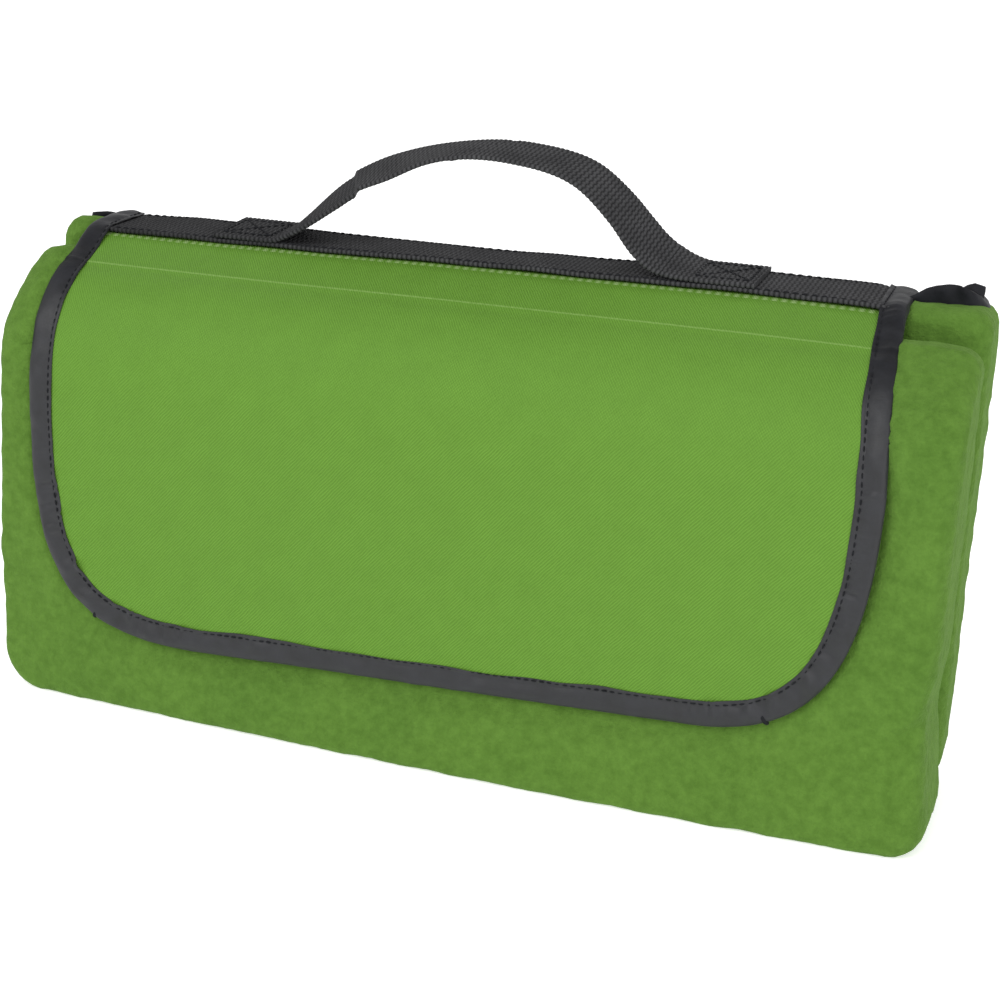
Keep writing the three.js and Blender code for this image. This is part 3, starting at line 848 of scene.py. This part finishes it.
def build_strip_stitches():
    x = np.arange(WEB_LOW[0] + TAPE_WIDTH, WEB_HIGH[0] - TAPE_WIDTH, STRIP_STITCH_PITCH)
    for name, across in STITCH_INSET.items():
        points, _, normal = strip_frame(x, across)
        points = points + normal * (STRIP_LIFT + WEB_THICK + 0.10)
        rows = merged(stitch_row(points, [normal] * len(points), radius=0.28))
        add_piece(f"strip_stitches_{name}", rows, THREAD, [f"seam_stitching_{name}"], on_bundle)


# ---------------------------------------------------------------- the handle

TAB_LEFT_X = box_mm("handle_end_left")[0][0]
TAB_RIGHT_X = box_mm("handle_end_right")[1][0]
TAB_HEIGHT = 2 * WEB_THICK + 0.65  # top of a tab above the flap's cloth
LEFT_TAB_END, RIGHT_TAB_START = -77.5, 65.0  # of the box stitches, in X
BOX_INSET = 3.5  # of the stitches from the sides of a tab
BOX_STITCH_PITCH = 2.5

# Middle line of the strap as (X, height above the tabs' plain height, lean across in degrees).
# The left leg rises slowly and leans back, the crown is nearly level, the right leg turns its
# face to the front.
HANDLE_LINE = np.array([
    (-76.5, -1.3, 6), (-74.0, -0.5, 8), (-71.5, 1.4, 12), (-54.4, 14.5, 24), (-46.0, 20.1, 20),
    (-36.0, 24.4, 17), (-24.0, 28.8, 10), (5.0, 31.5, 8), (26.0, 26.6, 10), (37.6, 17.6, 14),
    (46.2, 8.7, 18), (50.0, 5.5, 16), (66.0, 0.5, 5),
])


def smooth_line(line, count):
    """A smooth curve through the rows of a table, sampled at count places."""
    line = np.asarray(line, float)
    length = arc_length(line[:, :2])
    slope = np.gradient(line, length, axis=0)
    at = np.linspace(0, length[-1], count)
    k = np.clip(np.searchsorted(length, at, "right") - 1, 0, len(line) - 2)
    span = (length[k + 1] - length[k])[:, None]
    t = (at[:, None] - length[k][:, None]) / span
    a = line[k] * (2 * t**3 - 3 * t**2 + 1) + line[k + 1] * (3 * t**2 - 2 * t**3)
    return a + slope[k] * span * (t**3 - 2 * t**2 + t) + slope[k + 1] * span * (t**3 - t**2)


KINK_X, KINK_SLANT = -51.6, -0.467  # where the arch is kinked, and the slant of the kink across it
DENT_X, DENT_SLANT = -8.0, 0.55


def build_handle():
    """One strap: a tab sewn to the strip at each end and the arch between."""
    middle, _, normal = strip_frame(0.0, STRIP_WIDTH / 2)
    base = TAB_HEIGHT - WEB_THICK / 2
    left_tab = [(x, -1.4, 6) for x in np.linspace(TAB_LEFT_X, -78.5, 6)]
    right_tab = [(x, 0.5, 5) for x in np.linspace(68.5, TAB_RIGHT_X, 6)]
    line = smooth_line(np.concatenate([left_tab, HANDLE_LINE, right_tab]), 900)
    lean = np.radians(line[:, 2])
    ground = middle[2] - settle(0.0, -STRIP_WIDTH / 2) + base * normal[2]
    sway = 0.35 * ripple(line[:, :1], 60, 31)
    centres = joined(line[:, 0], middle[1] + sway * (line[:, 1] > 3), ground + line[:, 1])
    tangent = unit(np.gradient(centres, axis=0))
    across = joined(0.0, np.cos(lean), np.sin(lean))
    normals = unit(np.cross(tangent, across))
    relief = 1 - 0.6 * bump_at(line[:, 0], -32, 22)
    points, faces, uv = webbing_body(centres, across, normals, STRIP_WIDTH + 0.3, relief, 0.30)
    back = points[:, 1] - middle[1]
    kink = points[:, 0] - KINK_X - KINK_SLANT * back
    dent = points[:, 0] - DENT_X - DENT_SLANT * back
    raised = smooth_step(points[:, 2], ground + 6, ground + 12)
    points[:, 2] += raised * (0.8 * np.tanh(kink / 0.35) * np.exp(-np.abs(kink) / 5)
                              - 0.25 * bump_at(dent, 0, 1.2))
    add_piece("carry_handle", (points, faces), WEBBING,
              ["handle_loop", "handle_end_left", "handle_end_right"],
              lambda piece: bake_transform(piece), uv)


def build_tab_stitches():
    """A sewn box with a cross in it on each end of the handle."""
    for side, low_x, high_x in (("left", TAB_LEFT_X + 2, LEFT_TAB_END),
                                ("right", RIGHT_TAB_START, TAB_RIGHT_X - 2)):
        near, far = BOX_INSET, STRIP_WIDTH - BOX_INSET
        corners = [(low_x, near), (high_x, near), (high_x, far), (low_x, far)]
        lines = [(corners[k], corners[(k + 1) % 4]) for k in range(4)]
        lines += [(corners[0], corners[2]), (corners[1], corners[3])]
        rows = []
        for start, end in lines:
            flat = spaced([start, end], BOX_STITCH_PITCH)
            points, _, normal = strip_frame(flat[:, 0], flat[:, 1])
            points = points + normal * (TAB_HEIGHT + 0.08)
            rows += stitch_row(points, [normal] * len(points), radius=0.3)
        nodes = [f"handle_end_stitching_{side}"]
        add_piece(f"tab_stitches_{side}", merged(rows), THREAD, nodes, on_bundle)


# ---------------------------------------------------------------- the folded fleece

SPLIT_Y = 2.0  # between the two slabs
SLAB_GAP = 0.6  # from there to each slab
PLY = 4.4  # thickness of one ply of the folded blanket
LATTICE_STEPS = (2.1, 0.62, 2.1)  # of the slabs' surfaces along each axis


def round_margin(distance, radius):
    """How far a rounded corner falls back at a distance from the edge."""
    inside = np.clip(1 - np.asarray(distance, float) / radius, 0, 1)
    return radius * (1 - np.sqrt(np.clip(1 - inside**2, 0, 1)))


def margin_steps(length, low_radius, high_radius, step):
    """Places from 0 to 1 along a length that are close together in its rounded margins."""
    turn = np.linspace(0, math.pi / 2, 9 if step < 1 else 5)
    low = low_radius * (1 - np.cos(turn))
    high = length - high_radius * (1 - np.cos(turn[::-1]))
    count = max(2, int((length - low_radius - high_radius) / step))
    middle = np.linspace(low_radius, length - high_radius, count + 1)[1:-1]
    return np.concatenate([low, middle, high]) / length


def ply_ridges(value, start, pitch, depth):
    """The hollows between rounded plies: zero on a ply's crest, depth in the hollow."""
    phase = np.abs(np.sin(math.pi * (np.asarray(value, float) - start) / pitch))
    return depth * (1 - phase**0.55)


REAR_CROWN = (156.9, 156.6)  # height of the rear slab's top beside the strip, left and right
# Margins at the low and high side of each axis of a slab, in which its lattice is close.
MARGINS = {"front": ((11, 6), (3, 6), (6, 6)), "rear": ((11, 6), (5, 9), (6, 6))}
FACE_ROOM = 3.3  # room for the cloth and the touch fastener in front of the slab
VALLEY_Z = 138.0  # bottom of the valley between the two slabs
CROWN = (-13.0, 147.6)  # (Y, Z) of the front slab's top beside the flap


def beside_flap(x, y):
    """1 beside the flap and 0 under it."""
    edge = right_edge(depth_of_y(y))
    right = smooth_step(x, edge - 2.2, edge - 0.3)
    return right + 1 - smooth_step(x, LEFT_X - 2.0, LEFT_X + 1.0)


def depth_of_y(y):
    return np.interp(-np.asarray(y, float), -DRAPE[:, 0], DRAPE_DEPTH)


def front_top(_, y):
    """Height of the front slab's top, level with the flap where it comes out beside it."""
    drape = np.interp(-y, -DRAPE[:, 0], DRAPE[:, 1]) + 0.4
    top = np.minimum(drape + 1.5 * bump_at(y, CROWN[0], 8), CROWN[1])
    return top - (CROWN[1] - VALLEY_Z) * smooth_step(y, -7, SPLIT_Y) ** 1.5


def rear_top(x, y):
    """Height of the rear slab's top: it carries the strip and is fuller beside it."""
    under = np.interp(y, [SPLIT_Y, STRIP_WIDTH], [SEAM[1] - 2.0, STRIP_REAR[1] - 2.1])
    under = under - round_margin(y - SPLIT_Y, 3.0) + np.minimum(settle(x, -y), 0)
    free = np.where(x < 0, REAR_CROWN[0] - 0.16 * np.clip(y - 5, 0, 30), REAR_CROWN[1])
    free = free - round_margin(y - SPLIT_Y, 8.0)
    share = beside_flap(x, 0 * y)
    return under * (1 - share) + free * share - round_margin(FLEECE_HIGH[1] - y, 8.0)


def slab_points(share, lows, highs, radii, top, side):
    """Maps shares of a box to a soft slab. radii holds the margins at the low and high side of each
    axis; top gives the height of the slab's top at each (X, Y)."""
    y = lows[1] + (highs[1] - lows[1]) * share[:, 1]
    front_gap = y - lows[1]
    rear_gap = highs[1] - y
    bottom = round_margin(front_gap, radii[1][0]) + round_margin(rear_gap, radii[1][1])
    inside = np.minimum(front_gap, rear_gap)
    bottom = bottom + ply_ridges(y, lows[1], PLY * 2, 1.6) * smooth_step(inside, 2, 7)
    edges = round_margin(front_gap, radii[0][1]) + round_margin(rear_gap, radii[0][1])
    ridge = ply_ridges(y, lows[1] + 0.5 * PLY, PLY, 4.2)
    stagger = 1.6 * np.sin(2.3 * np.floor((y - lows[1]) / PLY) + 0.9)
    plies = (ridge + stagger) * smooth_step(inside, 3.0, 6.0)
    smooth_above = 84 if side == "front" else 120
    x = lows[0] + (highs[0] - lows[0]) * share[:, 0]
    for _ in range(3):  # the ends depend on the height and the height on the place between the ends
        height = top(x, y)
        z = bottom + (height - bottom) * share[:, 2]
        above = height - z
        below = z - bottom
        right = highs[0] - edges - round_margin(above, 7) - round_margin(below, 8)
        left = lows[0] + round_margin(front_gap, 4) + round_margin(rear_gap, 5)
        left = left + plies * (1 - smooth_step(z, smooth_above, smooth_above + 25))
        left = left + round_margin(above, 7) + round_margin(below, 14.0)
        if side == "front":
            left = left + 2.8 * np.clip((z - 85) / 60, 0, 1) ** 1.5 - 1.2 * bump_at(z, 40, 22)
            right = right - 2.0 * bump_at(z, 41, 12) + 1.6 * bump_at(z, 8, 10)
        else:
            right = right - 3.5 * (1 - smooth_step(z, 4, 16))
        x = left + (right - left) * share[:, 0]
    return joined(x, y, z)


def outside_flap(x, depth):
    """Distance in millimetres outside the flap's edge; negative under the flap."""
    outline = flap_outline(-STRIP_WIDTH)
    place = joined(x, depth)
    distance = np.full(len(place), np.inf)
    crossings = np.zeros(len(place), int)
    for a, b in zip(outline, np.roll(outline, -1, axis=0)):
        step = b - a
        t = np.clip((place - a) @ step / (step @ step), 0, 1)
        distance = np.minimum(distance, np.linalg.norm(place - a - t[:, None] * step, axis=1))
        spans = (a[1] > place[:, 1]) != (b[1] > place[:, 1])
        if a[1] != b[1]:
            meets = a[0] + (place[:, 1] - a[1]) / (b[1] - a[1]) * step[0]
            crossings += spans & (place[:, 0] < meets)
    return np.where(crossings % 2 == 1, -distance, distance)


def nearest_drape(y, z):
    """Depth of the nearest place on the flap's face, distance inside the face, and its normal."""
    place = joined(y, z)
    parts = np.array_split(place, 1 + len(place) // 4000)
    nearest = np.concatenate([((part[:, None] - DRAPE) ** 2).sum(-1).argmin(axis=1) for part in parts])
    depth = DRAPE_DEPTH[nearest]
    _, _, ny, nz = on_drape(depth)
    gap = place - DRAPE[nearest]
    return depth, -(gap[:, 0] * ny + gap[:, 1] * nz), ny, nz


def swell_front(points):
    """Lets the front of the blanket stand out round the flap and presses it in under the flap."""
    x, y, z = points.T
    outside = outside_flap(x, nearest_drape(y, z)[0])
    low = bump_at(z, 3, 22) * (8.4 - 4.2 * (np.abs(x - 35) / 155) ** 2) * smooth_step(outside, -1.5, 9)
    beside = 2.0 * smooth_step(z, 25, 45) * smooth_step(outside, -1.0, 3.0)
    points = points.copy()
    points[:, 1] -= smooth_step(-y, 22, 33) * np.maximum(low, beside)
    depth, inside, ny, nz = nearest_drape(points[:, 1], z)
    room = np.interp(depth, [20, 60], [1.9, FACE_ROOM]) + np.maximum(-settle(x, depth), 0)
    push = np.maximum(room - inside, 0) * (1 - smooth_step(outside, -2.4, -0.2)) * (depth > 1)
    points[:, 1] -= ny * push
    points[:, 2] -= nz * push
    return points


def soften(points, quads, seed):
    """Gives the cloth slow hollows and swells along its normals, less where it stands or is pressed."""
    normals = point_normals(points, quads)
    x, y, z = points.T
    pressed = (1 - beside_flap(x, y)) * smooth_step(z, 20, 40) * (y < STRIP_WIDTH)
    free = smooth_step(z, 1.0, 12.0) * (1 - 0.8 * pressed) * (1 - 0.65 * smooth_step(x, 138, 150))
    swell = 0.7 * np.tanh(ripple(points, 95, seed)) + 0.4 * np.tanh(ripple(points, 38, seed + 1))
    nap = 0.11 * ripple(points, 11, seed + 2) + 0.06 * ripple(points, 4.5, seed + 3)
    return points + normals * (swell * free + nap)[:, None]


def add_fleece(name, mesh):
    add_piece(name, mesh, FLEECE, ["fleece_blanket"], on_bundle)


def build_fleece():
    """The front slab, the rear slab and the fold that joins them at the left end."""
    low, high = FLEECE_LOW, FLEECE_HIGH
    slabs = {
        "front": ((low[0] - 1.8, low[1] - 0.4, 0), (high[0] - 0.7, SPLIT_Y - SLAB_GAP, high[2]),
                  front_top, 41),
        "rear": ((low[0] - 0.5, SPLIT_Y + SLAB_GAP, 0), (high[0] - 0.6, high[1], high[2]),
                 rear_top, 51),
    }
    for side, (lows, highs, top, seed) in slabs.items():
        radii = MARGINS[side]
        axes = [margin_steps(highs[k] - lows[k], *radii[k], LATTICE_STEPS[k]) for k in range(3)]
        places, quads = lattice_shell([len(axis) for axis in axes])
        share = np.stack([axes[k][places[:, k]] for k in range(3)], axis=1)
        points = slab_points(share, lows, highs, radii, top, side)
        points = soften(points, quads, seed)
        if side == "front":
            points = swell_front(pinch(points))
        points[:, 2] = np.maximum(points[:, 2], 0.0)
        add_fleece(f"fleece_{side}_slab", (points, quads.tolist()))
    build_end_fold()


def pinch(points):
    """The soft diagonal wrinkle at the lower right of the front."""
    x, y, z = points.T
    line = (z - 36.0) - 0.95 * (x - 146.0)
    near = smooth_step(x, 128, 145) * bump_at(z, 38, 16) * smooth_step(-y, 18, 30)
    points = points.copy()
    points[:, 1] += near * (1.5 * bump_at(line, 0, 3.0) - 0.8 * bump_at(line, -7, 4.0))
    return points


FOLD_BASE = 11.0  # how far the end fold's turn starts inside the left end
FOLD_REACH = 10.4
FOLD_HALF_DEPTH = 12.5


def build_end_fold():
    """The rounded fold at the left end, where the front slab turns into the rear slab."""
    turn = np.linspace(-math.pi / 2, math.pi / 2, 25)
    height = FLEECE_HIGH[2] - 13.0
    rings = []
    for t in np.linspace(0, 1, 80):
        z = 3.0 + t * height
        end = min(t, 1 - t) * height
        shrink = 1 - 0.45 * (1 - smooth_step(end, 0, 9))
        wave = 0.5 * math.sin(z / 17.0) + 0.25 * math.sin(z / 6.1 + 1.0)
        outer = joined(FLEECE_LOW[0] + FOLD_BASE - (FOLD_REACH + wave) * shrink * np.cos(turn),
                       SPLIT_Y + FOLD_HALF_DEPTH * shrink * np.sin(turn), z)
        inner = outer[::-1].copy()
        inner[:, 0] = FLEECE_LOW[0] + FOLD_BASE + 6
        rings.append(np.concatenate([outer, inner]))
    points, faces = loft(np.array(rings)[:, ::-1])
    add_fleece("fleece_end_fold", (points + 0.14 * ripple(points, 9, 61)[:, None], faces))


# ---------------------------------------------------------------- the blanket's bound edge and film

def turned_line(front_x, rear_x, front_y, rear_y, turn_x):
    """A line seen from above that runs to the right end, turns back and runs to the left."""
    radius, middle = (rear_y - front_y) / 2, (front_y + rear_y) / 2
    turn = np.linspace(-math.pi / 2, math.pi / 2, 30)
    bend = joined(turn_x + radius * np.cos(turn), middle + radius * np.sin(turn))
    return np.concatenate([[[front_x, front_y]], bend, [[rear_x, rear_y]]])


# Half of the standing tape's section, as (sideways, share of the height), from the fold outside
# down to the edge and back up inside.
HALF_ARCH = [(0.6, 0.97), (1.15, 0.82), (1.35, 0.55), (1.3, 0.25), (1.0, 0.0), (0.45, 0.0), (0.5, 0.4),
             (0.3, 0.75)]
ARCH_HALF_WIDTH = 0.62


def standing_tape(line, crest, foot, loose):
    """A folded tape that stands on its two edges along a line seen from above. loose says how much
    it sways, at each point."""
    outside, inside = np.array(HALF_ARCH[:5]), np.array(HALF_ARCH[5:])
    profile = np.concatenate([outside[::-1] * [-1, 1], [(0.0, 1.0)], outside, inside,
                              inside[::-1] * [-1, 1]])
    _, side = along_across(line)
    length = arc_length(line)
    rings, uv = [], []
    for k, point in enumerate(line):
        place = joined(length[k], profile[:, 1] * 9)
        bend = (0.35 + 1.3 * loose[k]) * ripple(place, 17, 71)
        bend = bend + 0.35 * ripple(place, 6, 72) * (0.3 + loose[k])
        x, y = point[:, None] + side[k][:, None] * (profile[:, 0] * ARCH_HALF_WIDTH + bend * profile[:, 1])
        rings.append(joined(x, y, foot + (crest[k] - foot) * profile[:, 1])[::-1])
        uv.append(place[::-1])
    points, faces = loft(rings)
    return points, faces, with_caps(uv)


# Heights of the edge's crest along X, in front and behind.
EDGE_FRONT = [(127, 156.5), (130, 158.0), (133, 160.1), (136, 161.3), (139, 161.9), (143, 161.9),
              (145.5, 161.0), (149, 159.0), (151, 158.6)]
EDGE_REAR = [(-152, 156.2), (-146, 155.6), (-138, 153.4), (-100, 153.9), (100, 155.2), (125, 156.0),
             (140, 157.4), (151, 158.6)]
LEFT_TIP = [(-145.0, 22.0), (-149.4, 13.0)]  # (X, Y) of the edge's other end
CURL = [(138.5, 18.0), (142.0, 16.8), (146.0, 17.2), (149.3, 19.6)]  # (X, Y) of the second curl
CURL_CREST = [(138.5, 157.0), (141, 159.4), (144.5, 161.9), (146.5, 162.6), (149.3, 161.6)]


def build_bound_edge():
    """The blanket's own bound edge: hidden behind the strip, out and crumpled at the right end, with
    its other end just out at the top left."""
    front_y, rear_y = EDGE_LOW[1] + 7.0, EDGE_HIGH[1] - 1.4
    line = turned_line(SEAM_HIGH[0] - 3.0, EDGE_LOW[0] + 2.0, front_y, rear_y, EDGE_HIGH[0] - 6.5)
    line = spaced(np.concatenate([line, LEFT_TIP]), 0.9)
    front, rear = (np.interp(line[:, 0], *zip(*crest)) for crest in (EDGE_FRONT, EDGE_REAR))
    share = smooth_step(line[:, 1], 17, 24)
    crest = front * (1 - share) + rear * share
    foot = EDGE_LOW[2] - 2.0
    parts = [standing_tape(line, crest, foot, smooth_step(line[:, 0], 118, 134))]
    curl = spaced(CURL, 0.7)
    top = np.interp(curl[:, 0], *zip(*CURL_CREST))
    parts.append(standing_tape(curl, top, foot + 4, np.full(len(curl), 0.35)))
    mesh = merged([part[:2] for part in parts])
    uv = np.concatenate([part[2] for part in parts])
    add_piece("blanket_bound_edge", mesh, TAPE, ["blanket_edge_tape"], on_bundle, uv)


FILM_LOW, FILM_LOOSE, FILM_HIGH = 20, 143, 156  # heights between which the film hangs and is crumpled


def build_film():
    """The waterproof film inside the rear slab, crumpled where it comes out at the top."""
    line = turned_line(-130.0, -132.0, EDGE_LOW[1] + 8.5, EDGE_HIGH[1] - 2.2, EDGE_HIGH[0] - 9.0)
    line = spaced(line, 1.6)
    _, side = along_across(line)
    heights = np.concatenate([np.linspace(FILM_LOW, FILM_LOOSE - 3, 14),
                              np.linspace(FILM_LOOSE, FILM_HIGH, 14)])
    length = arc_length(line)
    under_strip = (line[:, 0] < SEAM_HIGH[0] + 2) & (line[:, 1] < 18)
    rows = []
    for z in heights:
        swing = (0.3 + 0.8 * smooth_step(z, 138, 154)) * ripple(joined(length, z), 13, 81)
        out = 152.6 + 3.4 * smooth_step(line[:, 0], 116, 132)
        top = np.where(under_strip, 148.5, out + 0.6 * ripple(length[:, None], 15, 82))
        rows.append(joined(*(line + side * swing[:, None]).T, np.minimum(z, top - (FILM_HIGH - z) * 0.02)))
    front = np.array(rows)
    mesh = closed_sheet(front, front + joined(*side.T * 0.25, 0.0))[:2]
    add_piece("waterproof_film", mesh, FILM, ["waterproof_backing"], on_bundle)


# ---------------------------------------------------------------- touch fastener

def rounded_strip(low, high, y_base, y_face):
    """A flat sewn strip with rounded corners and a slightly crowned face."""
    gx, gz = np.meshgrid(np.linspace(low[0], high[0], 90), np.linspace(low[2], high[2], 18))
    edge = np.minimum(np.minimum(gx - low[0], high[0] - gx), np.minimum(gz - low[2], high[2] - gz))
    crown = smooth_step(edge, 0, 1.6)
    face = y_base + (y_face - y_base) * (0.45 + 0.55 * crown)
    front, back = joined(gx, face, gz), joined(gx, y_base, gz)
    sheet = closed_sheet(front, back) if y_face < y_base else closed_sheet(back, front)
    return sheet[:2]


NUB_RADII = ((0, 0.26), (0.6, 0.2), (1.0, 0.12))  # (share of a nub's length, radius)


def nubs(low, high, y_base, y_tip, pitch, seed):
    """Small leaning hooks or tufts on a strip."""
    draw = np.random.default_rng(seed)
    angles = np.linspace(0, TAU, 5)[:-1]
    parts = []
    for x in np.arange(low[0] + 2.4, high[0] - 2.0, pitch):
        for z in np.arange(low[2] + 2.4, high[2] - 2.0, pitch):
            lean = draw.uniform(-0.35, 0.35, 2)
            rings = []
            for t, size in NUB_RADII:
                rings.append(joined(x + lean[0] * t + size * np.cos(angles), y_base + (y_tip - y_base) * t,
                                    z + lean[1] * t + size * np.sin(angles)))
            parts.append(loft(np.array(rings)[:, ::-1] if y_tip < y_base else rings))
    return parts


def build_fasteners():
    """The loop strip on the fleece and the hook strip inside the flap, which face each other."""
    loop = [rounded_strip(LOOP_LOW, LOOP_HIGH, LOOP_HIGH[1] + 0.9, LOOP_LOW[1] + 0.3)]
    loop += nubs(LOOP_LOW, LOOP_HIGH, LOOP_LOW[1] + 0.35, LOOP_LOW[1] - 0.05, 1.9, 91)
    add_piece("loop_strip", merged(loop), LOOPS, ["loop_fastener"], on_bundle)
    hook = [rounded_strip(HOOK_LOW, HOOK_HIGH, HOOK_LOW[1] - 0.15, HOOK_HIGH[1] - 0.4)]
    hook += nubs(HOOK_LOW, HOOK_HIGH, HOOK_HIGH[1] - 0.45, HOOK_HIGH[1] - 0.05, 1.7, 92)
    add_piece("hook_strip", merged(hook), HOOKS, ["hook_fastener"],
              lambda piece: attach(piece, "flap_lower"))


# ---------------------------------------------------------------- stage

# In metres.
FLOOR_REACH = 60.0
LIGHT_AIM = np.array([0, 0, 0.08])
CAMERA_AIM = np.array([0.020, -0.037, 0.091])
CAMERA_DISTANCE = 0.588


def build_floor():
    corners = [(-1, -1, 0), (1, -1, 0), (1, 1, 0), (-1, 1, 0)]
    mesh = bpy.data.meshes.new("floor")
    mesh.from_pydata([[FLOOR_REACH * k for k in corner] for corner in corners], [], [(0, 1, 2, 3)])
    floor = bpy.data.objects.new("floor", mesh)
    bpy.context.scene.collection.objects.link(floor)
    f = Finish("floor", roughness=0.9, specular=0.1)
    f.look(Base_Color=f.tones(f.noise(0.4, 2.0), (0.3, (0.88, 0.88, 0.88, 1)), (0.7, (0.9, 0.9, 0.9, 1))))
    f.look(Emission_Color=(1, 1, 1, 1), Emission_Strength=0.5)
    mesh.materials.append(f.material)


def add_aimed(name, data, back, place, roll=0.0):
    """Adds a light or a camera at a place, with its back to the given direction, turned by roll."""
    level = unit(np.cross([0, 0, 1], back))
    raised = np.cross(back, level)
    right = level * math.cos(roll) + raised * math.sin(roll)
    item = bpy.data.objects.new(name, data)
    bpy.context.scene.collection.objects.link(item)
    rows = [[*values] for values in zip(right, np.cross(back, right), back, place)]
    item.matrix_world = Matrix(rows + [[0, 0, 0, 1]])
    return item


def build_lights():
    """A large key light from the front left, a weaker fill from the right, and a white studio."""
    for name, place, size, power in (("key", (-0.7, -2.8, 2.4), 2.2, 54.5),
                                     ("fill", (2.2, -2.4, 1.2), 2.0, 26)):
        light = bpy.data.lights.new(name, "AREA")
        light.shape = "DISK"
        light.size = size
        light.energy = power
        add_aimed(name, light, unit(np.array(place) - LIGHT_AIM), place)
    world = bpy.data.worlds.new("studio")
    world.use_nodes = True
    studio = Nodes(world.node_tree)
    height = studio.numbers(studio.place("Generated"))[2]
    studio.feed(studio.nodes["Background"], Color=(1, 1, 1, 1),
                Strength=studio.between(height, 0.1, 0.9, 0.85, 0.8))
    bpy.context.scene.world = world
    bpy.context.scene.view_settings.view_transform = "Standard"


def build_camera():
    """Looks from the right and a little above, slightly rolled."""
    azimuth, elevation, roll = (math.radians(a) for a in (18.7, 16.08, 3.05))
    back = np.array([math.sin(azimuth) * math.cos(elevation), -math.cos(azimuth) * math.cos(elevation),
                     math.sin(elevation)])
    data = bpy.data.cameras.new("camera")
    data.sensor_width = 36
    data.lens = 70.2
    place = CAMERA_AIM + back * CAMERA_DISTANCE
    bpy.context.scene.camera = add_aimed("camera", data, back, place, roll)


for build in (build_fleece, build_film, build_bound_edge, build_flap_band, build_flap_panel,
              build_flap_tape, build_tape_stitches, build_strip, build_strip_stitches, build_handle,
              build_tab_stitches, build_fasteners, build_floor, build_lights, build_camera):
    build()
